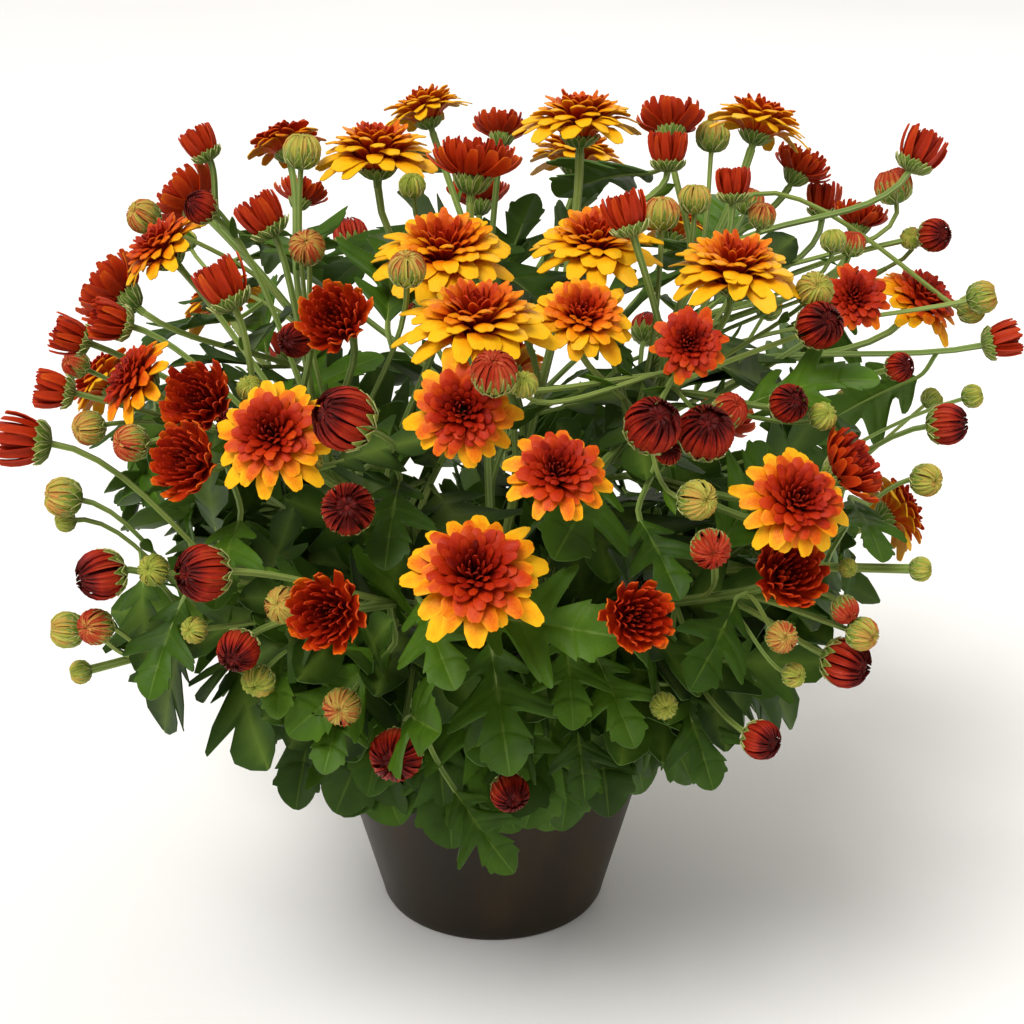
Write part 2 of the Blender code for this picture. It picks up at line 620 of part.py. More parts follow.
def grow_stems(places, obstacles):
    """Each head joins the stem that leans its way. The head nearest the lean ends the stem."""
    axes = spray_axes()
    groups = [[] for _ in axes]
    for index, place in enumerate(places):
        direction = (seat_of(place) - FAN_POINT).normalized()
        groups[max(range(len(axes)), key=lambda axis: direction.dot(axes[axis][1]))].append(index)
    sprays = []
    missed = []
    for number, ((hole, lean), group) in enumerate(zip(axes, groups)):
        owner = f"stem_{number + 1:02d}"
        foot = Vector((hole.x, hole.y, SOIL_TOP - STEM_DEPTH + GAP))
        collar = Vector((hole.x, hole.y, SOIL_TOP + 0.006))
        ranked = sorted(group, key=lambda index: (
            not stands_alone(places[index]), -(seat_of(places[index]) - FAN_POINT).normalized().dot(lean)))
        leader = places[ranked[0]]
        ends, end_radii = head_path(leader)
        radii = [STEM_RADIUS + (STEM_TOP_RADIUS - STEM_RADIUS) * step / STEM_STEPS for step in range(STEM_STEPS + 1)]
        radii = [STEM_RADIUS] + radii + end_radii[1:]
        for up, arrive in STEM_BENDS:
            curve = curve_points(collar, Vector((0, 0, up)), leader.face * arrive, ends[0], STEM_STEPS)
            path = [foot] + curve + ends[1:]
            if tube_is_clear(path, radii, STEM_SIDES, obstacles, (owner, ranked[0])):
                break
        else:
            missed.append(ranked[0])
        pieces = [piece_of(loft(path, radii, STEM_SIDES), owner)]
        obstacles.append(pieces[0])
        seated = [leader]
        stem = dotted(curve)
        lines = [(stem, pieces[0])]
        for index in ranked[1:]:
            for deeper in range(HEAD_TRIES):
                sight = (places[index].middle - EYE).normalized()
                place = places[index]._replace(middle=places[index].middle + sight * (deeper * HEAD_STEP))
                found = fork_stalk(place, stem, pieces, obstacles, (owner, index))
                if found or stands_alone(place):
                    break
            if not found:
                missed.append(index)
                continue
            pieces.append(piece_of(found[1], owner))
            obstacles.append(pieces[-1])
            lines.append((dotted(found[0]), pieces[-1]))
            seated.append(place)
        for place in seated:
            if place.kind in PETAL_TIERS and not stands_alone(place):
                sunk = seat_of(place) - place.face * (place.across * 0.03)
                pieces.append(piece_of(placed(bloom_shape(place.kind, place.across), sunk, place.face), owner))
                obstacles.append(pieces[-1])
        sprays.append((owner, pieces, lines))
    return sprays, missed


def swollen(shape):
    """A shape with every point moved out a little, for testing its clearance."""
    out = [Vector() for _ in shape.points]
    for face in shape.faces:
        a, b, c = (shape.points[corner] for corner in face[:3])
        for corner in face:
            out[corner] += (b - a).cross(c - a)
    return Shape([point + way.normalized() * CLEARANCE for point, way in zip(shape.points, out)], shape.faces)


def stalk_bases(sprays, target, least, most):
    """Points of stems and stalks about a leaf's length from a target, the nearest first."""
    near = []
    for number, (_, _, lines) in enumerate(sprays):
        for line, piece in lines:
            for step in range(2, len(line) - 1):
                distance = (line[step] - target).length
                if least < distance < most:
                    near.append((distance, number, line[step], piece))
    near.sort(key=lambda entry: entry[0])
    return near


def add_leaf(shape, spray, piece, obstacles):
    """Keeps a leaf if it crosses nothing but the stalk that it grows from."""
    low = min(point.z for point in shape.points[8:])
    inside = any(point.xy.length < POT_RIM_RADIUS + 0.004 for point in shape.points[8:])
    if (inside and low < POT_HEIGHT + 0.002) or not shape_is_clear(swollen(shape), obstacles, (piece,)):
        return False
    owner, pieces, _ = spray
    pieces.append(piece_of(shape, owner))
    obstacles.append(pieces[-1])
    return True


def seen_leaf(leaf, sprays, obstacles):
    """One of the leaves that show in full, joined to the nearest stem that it can reach unhindered."""
    for shift in LEAF_REACH_TRIES:
        root = on_dome(*leaf.root, leaf.root_reach + shift)
        tip = on_dome(*leaf.tip, leaf.tip_reach + shift)
        normal = TOWARD + (root - DOME_CENTRE).normalized() + UP * 0.4
        for _, number, base, piece in stalk_bases(sprays, root, 0.006, 0.060)[:14]:
            if (root - base).angle(tip - root) < LEAF_BEND:
                if add_leaf(leaf_shape(base, root, tip, normal, 0.06, 0.1), sprays[number], piece, obstacles):
                    return True
    return False


def grow_leaves(sprays, obstacles, draw):
    """The leaves that show, then more spread over the dome under the heads."""
    grown = sum(seen_leaf(leaf, sprays, obstacles) for leaf in SEEN_LEAVES)
    for turn in range(LEAF_COUNT):
        height = 0.98 - 1.42 * (turn + 0.5) / LEAF_COUNT
        level = math.sqrt(max(1 - height * height, 0))
        for attempt in range(18):
            angle = turn * GOLDEN_ANGLE + draw.uniform(-0.12, 0.12)
            outward = Vector((level * math.cos(angle), level * math.sin(angle), height))
            share = draw.uniform(0.74, 0.9) - attempt * 0.012
            middle = DOME_CENTRE + outward * Vector((DOME_RADIUS, DOME_RADIUS, DOME_HEIGHT)) * share
            middle.z = max(middle.z, POT_HEIGHT + 0.010)
            near = stalk_bases(sprays, middle, 0.020, 0.052)
            if not near:
                continue
            _, number, base, piece = near[min(attempt // 2, len(near) - 1)]
            ahead = (middle - base).normalized()
            root = base + ahead * LEAF_STALK
            tip = root + ahead * draw.uniform(0.044, 0.060)
            normal = outward + Vector((draw.uniform(-0.3, 0.3), draw.uniform(-0.3, 0.3), 0.5))
            arch, fold = draw.uniform(0.02, 0.1), draw.uniform(0.05, 0.25)
            shape = leaf_shape(base, root, tip, normal, arch, fold)
            fits = abs(ahead.dot(normal.normalized())) < 0.9 and within_view(tip, LEAF_VIEW)
            if fits and add_leaf(shape, sprays[number], piece, obstacles):
                grown += 1
                break
    return grown


def mesh_object(name, shape, material):
    mesh = bpy.data.meshes.new(name)
    mesh.from_pydata([tuple(point) for point in shape.points], [], [tuple(face) for face in shape.faces])
    mesh.update()
    item = bpy.data.objects.new(name, mesh)
    bpy.context.scene.collection.objects.link(item)
    mesh.materials.append(material)
    return item


def joined(name, pieces, material):
    """One body of many pieces, by a single union."""
    base = mesh_object(name, pieces[0].shape, material)
    others = bpy.data.collections.new(name + "_pieces")
    bpy.context.scene.collection.children.link(others)
    for number, piece in enumerate(pieces[1:]):
        other = mesh_object(f"{name}_piece_{number}", piece.shape, material)
        bpy.context.scene.collection.objects.unlink(other)
        others.objects.link(other)
    union = base.modifiers.new("union", "BOOLEAN")
    union.operation = "UNION"
    union.operand_type = "COLLECTION"
    union.collection = others
    union.solver = "MANIFOLD"
    apply_modifiers(base)
    for other in list(others.objects):
        bpy.data.objects.remove(other, do_unlink=True)
    bpy.data.collections.remove(others)
    keep_body(base)


def keep_body(item):
    """Fills the hollows that a union sealed, and drops loose scraps: only the main body's faces stay."""
    body = bmesh.new()
    body.from_mesh(item.data)
    unseen = set(body.faces)
    islands = []
    while unseen:
        island, edge = [], [unseen.pop()]
        while edge:
            face = edge.pop()
            island.append(face)
            for link in face.edges:
                for near in link.link_faces:
                    if near in unseen:
                        unseen.remove(near)
                        edge.append(near)
        islands.append(island)
    islands.sort(key=len)
    for island in islands[:-1]:
        middle = sum((face.calc_center_median() for face in island), Vector()) / len(island)
        print(item.name, "loses a piece of", len(island), "faces about", [round(value, 3) for value in middle])
        bmesh.ops.delete(body, geom=island, context="FACES")
    body.to_mesh(item.data)
    body.free()


def material(name, colour, roughness):
    made = bpy.data.materials.new(name)
    made.use_nodes = True
    shader = made.node_tree.nodes["Principled BSDF"]
    shader.inputs["Base Color"].default_value = (*colour, 1)
    shader.inputs["Roughness"].default_value = roughness
    shader.inputs["Metallic"].default_value = 0
    return made


def turned_shape(profile, segments):
    """A closed profile of (radius, height) turned about +Z. A radius of zero is a pole."""
    points, faces, rings = [], [], []
    for radius, height in profile:
        if radius == 0:
            rings.append([len(points)])
            points.append(Vector((0, 0, height)))
        else:
            rings.append(list(range(len(points), len(points) + segments)))
            for step in range(segments):
                angle = math.tau * step / segments
                points.append(Vector((radius * math.cos(angle), radius * math.sin(angle), height)))
    for lower, upper in zip(rings, rings[1:]):
        for step in range(segments):
            following = (step + 1) % segments
            if len(lower) == 1:
                faces.append([lower[0], upper[following], upper[step]])
            elif len(upper) == 1:
                faces.append([lower[step], lower[following], upper[0]])
            else:
                faces.append([lower[step], lower[following], upper[following], upper[step]])
    return Shape(points, faces)


def pot_and_soil(holes, draw):
    """The turned pot with its drain holes, and the soil in it with a plain hole for each stem."""
    neck = POT_HEIGHT - POT_BAND_HEIGHT
    band = POT_RIM_RADIUS - POT_BAND_TAPER
    pot_profile = (
        (0, 0), (POT_BASE_RADIUS, 0), (POT_NECK_RADIUS, neck), (band, neck), (POT_RIM_RADIUS, POT_HEIGHT),
        (POT_RIM_RADIUS - POT_WALL, POT_HEIGHT), (band - POT_WALL, neck + POT_WALL),
        (POT_NECK_RADIUS - POT_WALL, neck + POT_WALL), (POT_BASE_RADIUS - POT_WALL, POT_WALL), (0, POT_WALL))
    pot = mesh_object("pot", turned_shape(pot_profile, POT_SEGMENTS), material("pot_plastic", POT_COLOUR, 0.45))
    drains = []
    for step in range(DRAIN_HOLES):
        angle = math.tau * (step + 0.5) / DRAIN_HOLES
        centre = Vector((math.cos(angle) * DRAIN_CIRCLE, math.sin(angle) * DRAIN_CIRCLE, 0))
        drains.append(loft([centre - Vector((0, 0, 0.002)), centre + Vector((0, 0, 0.004))], [DRAIN_RADIUS] * 2, 6))
    cut(pot, drains)
    slack = POT_WALL + GAP
    soil_profile = (
        (0, slack), (POT_BASE_RADIUS - slack, slack), (POT_NECK_RADIUS - slack, neck + POT_WALL),
        (POT_NECK_RADIUS - slack, neck + slack), (band - slack, neck + slack),
        (band - slack, SOIL_TOP - 0.002), (band * 0.82, SOIL_TOP), (band * 0.5, SOIL_TOP), (0, SOIL_TOP))
    shape = turned_shape(soil_profile, SOIL_SEGMENTS)
    uneven = [point for point in shape.points if point.z >= SOIL_TOP]
    for point in uneven:
        point.z += draw.uniform(-0.0015, 0.0015)
    soil = mesh_object("soil", shape, material("potting_mix", SOIL_COLOUR, 0.95))
    wide = STEM_RADIUS + GAP / math.cos(math.pi / STEM_SIDES)
    bores = []
    for hole in holes:
        low = Vector((hole.x, hole.y, SOIL_TOP - STEM_DEPTH))
        bores.append(loft([low, low + Vector((0, 0, STEM_DEPTH + 0.01))], [wide] * 2, STEM_SIDES))
    cut(soil, bores)


def cut(item, shapes):
    """Takes closed shapes out of an object, and applies the cut."""
    cutters = bpy.data.collections.new(item.name + "_cutters")
    bpy.context.scene.collection.children.link(cutters)
    for number, shape in enumerate(shapes):
        cutter = mesh_object(f"{item.name}_cutter_{number}", shape, item.data.materials[0])
        bpy.context.scene.collection.objects.unlink(cutter)
        cutters.objects.link(cutter)
    difference = item.modifiers.new("cut", "BOOLEAN")
    difference.operation = "DIFFERENCE"
    difference.operand_type = "COLLECTION"
    difference.collection = cutters
    apply_modifiers(item)
    for cutter in list(cutters.objects):
        bpy.data.objects.remove(cutter, do_unlink=True)
    bpy.data.collections.remove(cutters)


def apply_modifiers(item):
    """Replaces an object's mesh with its evaluated one."""
    bpy.context.view_layer.update()
    graph = bpy.context.evaluated_depsgraph_get()
    mesh = bpy.data.meshes.new_from_object(item.evaluated_get(graph))
    item.modifiers.clear()
    item.data = mesh


def build():
    for item in list(bpy.data.objects):
        bpy.data.objects.remove(item, do_unlink=True)
    draw = random.Random(SEED)
    front = front_places()
    places = settled(front + back_places(front))
    obstacles = []
    blooms = []
    for index, place in enumerate(places):
        if stands_alone(place):
            shape = placed(bloom_shape(place.kind, place.across), seat_of(place), place.face)
            obstacles.append(piece_of(shape, index))
            blooms.append((place, shape))
    pot_and_soil([hole for hole, _ in spray_axes()], draw)
    sprays, missed = grow_stems(places, obstacles)
    grown = grow_leaves(sprays, obstacles, draw)
    for number, (place, shape) in enumerate(blooms):
        colour = OPEN_COLOUR if place.kind == "open" else RED_COLOUR
        name = f"bloom_{number + 1:02d}"
        mesh_object(name, shape, material(name + "_petals", colour, 0.6))
    for owner, pieces, _ in sprays:
        joined(owner, pieces, material(owner + "_green", GREEN_COLOUR, 0.6))
    print("heads", len(places), "leaves", grown, "heads without a clear stalk", missed)
    print("objects", len(bpy.data.objects))


build()
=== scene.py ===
# %% [markdown]
# # A pot chrysanthemum
# A bushy plant in a dark nursery pot: leafy stems fan out of the soil into a dome of bicolour blooms,
# half-open heads and buds. The solids of the frame already say where every stem and head is. This lesson
# gives them their petals, scales, veins and finishes. Everything is in metres, with +Z up and the pot's foot
# at the origin.

import math
import random
from collections import namedtuple

import bmesh
import bpy
import numpy as np
from mathutils import Matrix, Vector
from mathutils.bvhtree import BVHTree


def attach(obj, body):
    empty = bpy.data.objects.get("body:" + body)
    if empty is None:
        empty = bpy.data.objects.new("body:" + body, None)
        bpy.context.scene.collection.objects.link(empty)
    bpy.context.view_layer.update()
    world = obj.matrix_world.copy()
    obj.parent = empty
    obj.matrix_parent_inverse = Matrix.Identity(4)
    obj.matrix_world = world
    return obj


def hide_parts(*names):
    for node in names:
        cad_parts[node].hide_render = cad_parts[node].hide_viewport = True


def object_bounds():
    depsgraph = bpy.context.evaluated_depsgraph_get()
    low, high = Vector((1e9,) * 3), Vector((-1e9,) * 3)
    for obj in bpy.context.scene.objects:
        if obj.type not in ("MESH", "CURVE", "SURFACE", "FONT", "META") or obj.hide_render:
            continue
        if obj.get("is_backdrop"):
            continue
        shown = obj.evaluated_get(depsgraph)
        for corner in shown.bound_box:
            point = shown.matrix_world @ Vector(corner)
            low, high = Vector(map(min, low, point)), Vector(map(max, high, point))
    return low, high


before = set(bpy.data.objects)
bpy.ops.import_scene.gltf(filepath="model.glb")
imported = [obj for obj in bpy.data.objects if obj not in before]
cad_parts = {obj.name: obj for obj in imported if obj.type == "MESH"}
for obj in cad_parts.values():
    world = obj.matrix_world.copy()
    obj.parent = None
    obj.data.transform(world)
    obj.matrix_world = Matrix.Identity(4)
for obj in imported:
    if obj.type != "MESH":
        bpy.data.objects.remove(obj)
bpy.context.view_layer.update()
cad_low, cad_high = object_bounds()
print("the solids reach from", list(cad_low), "to", list(cad_high))

# %% [markdown]
# ## The camera
# The plant was seen from in front and above: the rim of the pot shows as a flat ellipse, and the far blooms
# stand above the near ones. A long lens keeps the near blooms from looking swollen. Its length follows from
# the picture's own measure, pixels per unit of slope, so a sight line through any pixel can be worked out.

# %% Set up the camera
PITCH = math.radians(22)
EYE = Vector((0.008, -0.788, 0.489))
PICTURE_MIDDLE = 512
FOCAL_PIXELS = 2133
SENSOR = 36.0
RIGHT = Vector((1, 0, 0))
UP = Vector((0, math.sin(PITCH), math.cos(PITCH)))
TOWARD = Vector((0, -math.cos(PITCH), math.sin(PITCH)))

bpy.ops.object.camera_add(location=EYE, rotation=(math.radians(90) - PITCH, 0, 0))
camera = bpy.context.object
camera.data.sensor_width = SENSOR
camera.data.lens = SENSOR * FOCAL_PIXELS / (2 * PICTURE_MIDDLE)
bpy.context.scene.camera = camera
print("lens", round(camera.data.lens, 1), "mm")

# %% [markdown]
# ## Where the heads are
# A gardener would say that the bush is a dome with a head on the end of every shoot. The rows below are that
# dome's front, a kind at a time: each head's place in the picture, its width in millimetres, the way it faces
# as shares of right, up and toward, and its reach as a share of the dome where that isn't 1, below zero beyond
# the crest. The far side is filled by the golden angle, which spreads points evenly over a dome.

# %% List the heads
DOME_CENTRE = Vector((0.0, 0.0, 0.165))
DOME_RADIUS = 0.200
DOME_HEIGHT = 0.165
Head = namedtuple("Head", "kind px py across face reach", defaults=(1.0,))
HEAD_ROWS = {
    "open": (
        (475, 572, 47, (0.0, 0.45, 0.9)), (463, 410, 38, (0.0, 0.15, 1.0), 0.95),
        (477, 318, 46, (0.0, 0.85, 0.5)), (445, 250, 46, (0.0, 0.8, 0.6)),
        (583, 315, 36, (0.1, 0.6, 0.8)), (595, 243, 43, (0.0, 0.85, 0.5), 0.97),
        (735, 266, 42, (0.05, 0.85, 0.5)), (923, 298, 38, (0.45, 0.6, 0.6)),
        (558, 472, 35, (0.1, 0.5, 0.85)), (797, 500, 40, (0.2, 0.35, 0.9), 1.02),
        (689, 344, 27, (0.0, 0.2, 1.0), 0.98), (272, 433, 41, (-0.1, 0.3, 0.95)),
        (133, 378, 36, (-0.75, 0.5, 0.45)), (160, 245, 38, (-0.6, 0.7, 0.4)),
        (377, 150, 42, (0.0, 1.0, 0.3)), (425, 108, 34, (-0.3, 0.95, 0.05), -1.0),
        (580, 118, 43, (0.0, 1.0, 0.25)), (760, 120, 38, (0.3, 1.0, 0.0)),
        (855, 298, 27, (0.1, 0.3, 0.95), 0.97), (285, 142, 33, (-0.25, 0.95, -0.2), -1.0)),
    "half": (
        (475, 152, 32, (0.1, 1.0, 0.1)), (640, 617, 24, (0.3, 0.05, 0.95), 0.98),
        (857, 462, 28, (0.75, 0.5, 0.4)), (793, 572, 27, (0.3, 0.25, 0.9), 0.95),
        (323, 613, 27, (-0.35, 0.0, 0.93)), (107, 285, 32, (-0.8, 0.6, -0.1), 0.97),
        (183, 192, 30, (-0.7, 0.7, -0.2), 0.95), (194, 397, 27, (-0.4, 0.25, 0.85), 0.97),
        (180, 460, 27, (-0.55, 0.15, 0.8)), (332, 315, 26, (-0.3, 0.3, 0.9)),
        (503, 122, 24, (0.1, 1.0, -0.2), -1.0), (670, 115, 27, (0.0, 1.0, -0.35), -1.0),
        (805, 160, 24, (0.5, 0.85, 0.0)), (303, 188, 22, (0.2, 0.9, -0.2), -0.98),
        (862, 210, 22, (0.2, 0.95, 0.15), 0.97)),
    "brush": (
        (29, 441, 20, (-1.0, 0.1, 0.1)), (918, 155, 18, (0.45, 0.9, 0.1)),
        (998, 342, 16, (0.9, 0.2, 0.1)), (225, 290, 19, (-0.45, 0.85, 0.15)),
        (265, 220, 17, (-0.5, 0.8, 0.2)), (628, 218, 16, (-0.3, 0.95, 0.15), 1.06),
        (668, 155, 16, (0.0, 1.0, 0.1), 0.97), (733, 188, 14, (0.0, 1.0, 0.15)),
        (115, 322, 16, (-0.85, 0.2, 0.4)), (75, 338, 15, (-0.85, 0.3, 0.3), 1.03),
        (58, 390, 15, (-0.9, 0.15, 0.2), 1.03), (823, 203, 15, (0.0, 1.0, 0.2)),
        (203, 147, 15, (-0.45, 0.85, 0.15), 1.05)),
    "ball": (
        (343, 418, 19, (-0.75, 0.3, 0.55), 1.04), (348, 509, 16, (0.0, 0.1, 1.0), 0.97),
        (202, 573, 17, (-0.7, -0.05, 0.65)), (100, 575, 16, (-0.8, -0.2, 0.5)),
        (396, 755, 17, (-0.1, -0.15, 0.98), 0.8), (847, 663, 16, (0.75, -0.25, 0.55), 0.95),
        (653, 425, 17, (0.3, 0.45, 0.8), 1.02), (706, 432, 17, (0.05, 0.5, 0.85)),
        (820, 325, 15, (0.4, 0.2, 0.9), 1.02), (948, 424, 14, (0.85, 0.05, 0.45)),
        (935, 235, 12, (0.5, 0.0, 0.85)), (789, 403, 12, (0.3, 0.15, 0.9)),
        (200, 207, 11, (-0.6, 0.3, 0.7), 1.02), (232, 425, 10, (-0.3, 0.2, 0.9), 0.93),
        (668, 452, 8, (0.0, 0.2, 1.0), 0.95), (295, 340, 11, (-0.4, -0.2, 0.8), 0.95),
        (900, 367, 9.5, (0.5, 0.1, 0.85)), (762, 740, 12.5, (0.6, -0.2, 0.75), 0.9),
        (510, 793, 12.5, (0.25, -0.4, 0.85), 0.78), (238, 651, 13, (-0.2, -0.45, 0.85), 0.95)),
    "bud": (
        (494, 372, 13, (0.0, 0.6, 0.75), 1.09), (407, 268, 11, (0.0, 0.7, 0.6), 1.06),
        (307, 247, 11, (0.0, 0.3, 0.95)), (302, 150, 12, (0.1, 0.9, 0.3), 1.05),
        (893, 185, 13, (-0.3, 0.9, 0.2)), (713, 135, 12, (0.1, 1.0, 0.1)),
        (695, 198, 10, (0.0, 1.0, 0.3)), (662, 212, 11, (0.0, 1.0, 0.4)),
        (815, 290, 11.5, (0.1, 0.3, 0.95), 1.05), (143, 216, 11.5, (-0.6, 0.3, 0.6), 1.02),
        (88, 428, 10.5, (-0.7, -0.2, 0.6)), (130, 443, 11, (-0.75, 0.0, 0.6)),
        (62, 497, 12, (-0.9, 0.1, 0.4)), (66, 630, 11, (-0.9, 0.0, 0.3)),
        (95, 627, 11, (-0.5, 0.0, 0.85), 0.97), (283, 605, 11, (-0.3, 0.1, 0.9), 0.93),
        (342, 707, 11.5, (-0.1, -0.15, 0.97), 0.85), (698, 500, 11.5, (0.55, 0.0, 0.8)),
        (711, 549, 11.5, (0.1, -0.3, 0.93)), (730, 410, 10.5, (0.5, 0.5, 0.65), 0.96),
        (927, 480, 10, (0.6, -0.1, 0.75)), (983, 297, 11, (0.9, 0.2, 0.2)),
        (972, 309, 10, (0.7, 0.0, 0.5), 0.90), (782, 637, 9.5, (0.2, 0.0, 0.97), 0.95),
        (863, 634, 10, (0.7, -0.2, 0.6), 0.97), (845, 610, 8.5, (0.4, -0.6, 0.6), 0.96),
        (762, 215, 9, (0.1, 0.8, 0.5), 0.97), (75, 364, 9, (-0.6, 0.3, 0.6), 0.95),
        (852, 243, 9, (0.1, 0.9, 0.3))),
    "pip": (
        (833, 240, 8, (-0.1, 0.9, 0.3)), (524, 384, 7.5, (0.0, 0.6, 0.8)),
        (250, 388, 7.5, (0.0, 0.4, 0.9), 0.97), (310, 462, 7, (0.1, 0.3, 0.9), 0.97),
        (412, 185, 8, (0.0, 0.8, 0.5), 0.97), (911, 238, 7.5, (-0.4, 0.3, 0.8), 1.02),
        (973, 396, 7.5, (0.85, 0.2, 0.4)), (823, 416, 8, (0.4, 0.3, 0.85)),
        (921, 569, 7, (0.8, 0.0, 0.4)), (848, 568, 5.5, (0.3, -0.2, 0.8), 0.95),
        (794, 675, 7, (0.6, 0.0, 0.75), 0.93), (664, 706, 8, (0.1, -0.1, 0.95), 0.82),
        (258, 681, 9.5, (-0.2, -0.5, 0.8), 0.9), (194, 630, 7.5, (-0.4, 0.0, 0.85), 0.97),
        (153, 570, 9, (-0.3, 0.1, 0.9), 0.97), (80, 672, 7, (-0.9, -0.2, 0.4), 0.95),
        (65, 521, 6.5, (-0.8, -0.2, 0.5), 0.98)),
}
HEADS = [Head(kind, *row) for kind, rows in HEAD_ROWS.items() for row in rows]

# %% Set the heads out in space
BACK_KINDS = ("open", "bud", "half", "pip", "open", "ball", "brush", "bud")
BACK_WIDTHS = {"open": 42, "half": 28, "brush": 17, "ball": 15, "bud": 11, "pip": 8}
BACK_TURNS = 66
BACK_HIGHEST = 0.97
BACK_LOWEST = -0.2
BACK_REACH = 0.97
HORIZON = 0.1
BACK_SPACING = 0.003
BACK_UPTURN = 0.5
# The ellipse of the view, as middle and half-sizes in pixels, that hides the heads behind it
BACK_VIEW = ((515, 400), (425, 290))
GOLDEN_ANGLE = math.pi * (3 - math.sqrt(5))
# How far a head's middle stands above its stalk, and half its depth, as shares of its width
HEAD_LIFT = {"open": 0.16, "half": 0.28, "brush": 0.45, "ball": 0.45, "bud": 0.45, "pip": 0.45}
HEAD_DEPTH = {"open": 0.19, "half": 0.40, "brush": 0.5, "ball": 0.5, "bud": 0.5, "pip": 0.5}
OWN_NODE_WIDTH = 24.5
# Heads that would cross slide in small steps until this much room is between them
HEAD_ROOM = 0.001
SLIDE_STEP = 0.0007
SLIDE_ROUNDS = 60
Place = namedtuple("Place", "kind middle face across")


# %% Look along the sight lines of the front view
def sight_line(px, py):
    """The direction in which the front view looks through one pixel of its picture."""
    across = (px - PICTURE_MIDDLE) / FOCAL_PIXELS
    above = (PICTURE_MIDDLE - py) / FOCAL_PIXELS
    return (RIGHT * across + UP * above - TOWARD).normalized()


def within_view(point, view):
    """Whether a point shows inside an ellipse of the front view."""
    (middle_x, middle_y), (half_x, half_y) = view
    depth = (EYE - point).dot(TOWARD)
    px = PICTURE_MIDDLE + (point - EYE).dot(RIGHT) / depth * FOCAL_PIXELS
    py = PICTURE_MIDDLE - (point - EYE).dot(UP) / depth * FOCAL_PIXELS
    return ((px - middle_x) / half_x) ** 2 + ((py - middle_y) / half_y) ** 2 < 1


def on_dome(px, py, reach):
    """Where a sight line meets the dome at a share of its size, or where it passes closest to it."""
    sight = sight_line(px, py)
    scale = Vector((1, 1, DOME_RADIUS / DOME_HEIGHT))
    start = (EYE - DOME_CENTRE) * scale
    step = sight * scale
    middle = -start.dot(step) / step.length_squared
    miss = (start + step * middle).length_squared
    spare = (DOME_RADIUS * abs(reach)) ** 2 - miss
    half_chord = math.sqrt(max(spare, 0) / step.length_squared)
    return EYE + sight * (middle + math.copysign(half_chord, -reach))


# %% Place the heads of the front and of the back
def front_places():
    """The heads of the table, in space."""
    places = []
    for head in HEADS:
        face = RIGHT * head.face[0] + UP * head.face[1] + TOWARD * head.face[2]
        middle = on_dome(head.px, head.py, head.reach)
        places.append(Place(head.kind, middle, face.normalized(), head.across / 1000))
    return places


def back_places(front):
    """Heads for the side that the front view hides, spaced on the dome by the golden angle."""
    places = []
    for turn in range(BACK_TURNS):
        height = BACK_HIGHEST + (BACK_LOWEST - BACK_HIGHEST) * turn / BACK_TURNS
        level = math.sqrt(1 - height * height)
        angle = turn * GOLDEN_ANGLE
        outward = Vector((level * math.cos(angle), level * math.sin(angle), height))
        middle = DOME_CENTRE + outward * Vector((DOME_RADIUS, DOME_RADIUS, DOME_HEIGHT)) * BACK_REACH
        kind = BACK_KINDS[len(places) % len(BACK_KINDS)]
        across = BACK_WIDTHS[kind] / 1000
        normal = outward * Vector((1, 1, DOME_RADIUS / DOME_HEIGHT))
        faces_viewer = normal.normalized().dot((EYE - middle).normalized()) > HORIZON
        if faces_viewer or not within_view(middle, BACK_VIEW):
            continue
        if any((middle - near.middle).length < (across + near.across) / 2 + BACK_SPACING
               for near in front + places):
            continue
        face = (outward + Vector((0, 0, BACK_UPTURN))).normalized()
        places.append(Place(kind, middle, face, across))
    return places


# %% Keep the heads apart
def reach_along(place, axis):
    """How far a head's flattened ball reaches along an axis."""
    along = place.face.dot(axis)
    wide = place.across / 2
    deep = place.across * HEAD_DEPTH[place.kind]
    return math.sqrt(max(wide * wide * (1 - along * along) + deep * deep * along * along, 0))


def apart(one, other):
    """Whether some plane keeps two heads apart."""
    between = (other.middle - one.middle).normalized()
    axes = [between, one.face, other.face, (one.face + other.face), between + one.face, between - one.face]
    axes += [between + other.face, between - other.face, between - TOWARD * between.dot(TOWARD)]
    for axis in axes:
        if axis.length < 1e-6:
            continue
        axis = axis.normalized()
        distance = abs((other.middle - one.middle).dot(axis))
        if distance > reach_along(one, axis) + reach_along(other, axis) + HEAD_ROOM:
            return True
    return False


def settled(places):
    """Heads that would cross slide along their sight lines, the nearer one towards the viewer."""
    places = list(places)
    for _ in range(SLIDE_ROUNDS):
        still = True
        for one in range(len(places)):
            for other in range(one + 1, len(places)):
                first, second = places[one], places[other]
                distance = (first.middle - second.middle).length
                if distance > (first.across + second.across) / 2 + HEAD_ROOM or apart(first, second):
                    continue
                still = False
                nearer = (EYE - first.middle).length < (EYE - second.middle).length
                for index, sign in ((one, 1 if nearer else -1), (other, -1 if nearer else 1)):
                    place = places[index]
                    step = (EYE - place.middle).normalized() * (SLIDE_STEP * sign)
                    places[index] = place._replace(middle=place.middle + step)
        if still:
            break
    return places


# %% Draw smooth curves
def bezier(start, first, second, end, share):
    """A point of a cubic curve, at a share of its way."""
    rest = 1 - share
    ends = start * rest ** 3 + end * share ** 3
    return ends + first * (3 * rest * rest * share) + second * (3 * rest * share * share)


def curve_points(start, leave, arrive, end, steps):
    """Points of the curve that leaves and arrives in two directions, given as shares of its length."""
    length = (end - start).length
    first = start + leave * length
    second = end - arrive * length
    return [bezier(start, first, second, end, step / steps) for step in range(steps + 1)]


# %% Set all the heads out
front = front_places()
places = settled(front + back_places(front))
print(len(places), "heads:", {kind: sum(place.kind == kind for place in places) for kind in HEAD_LIFT})

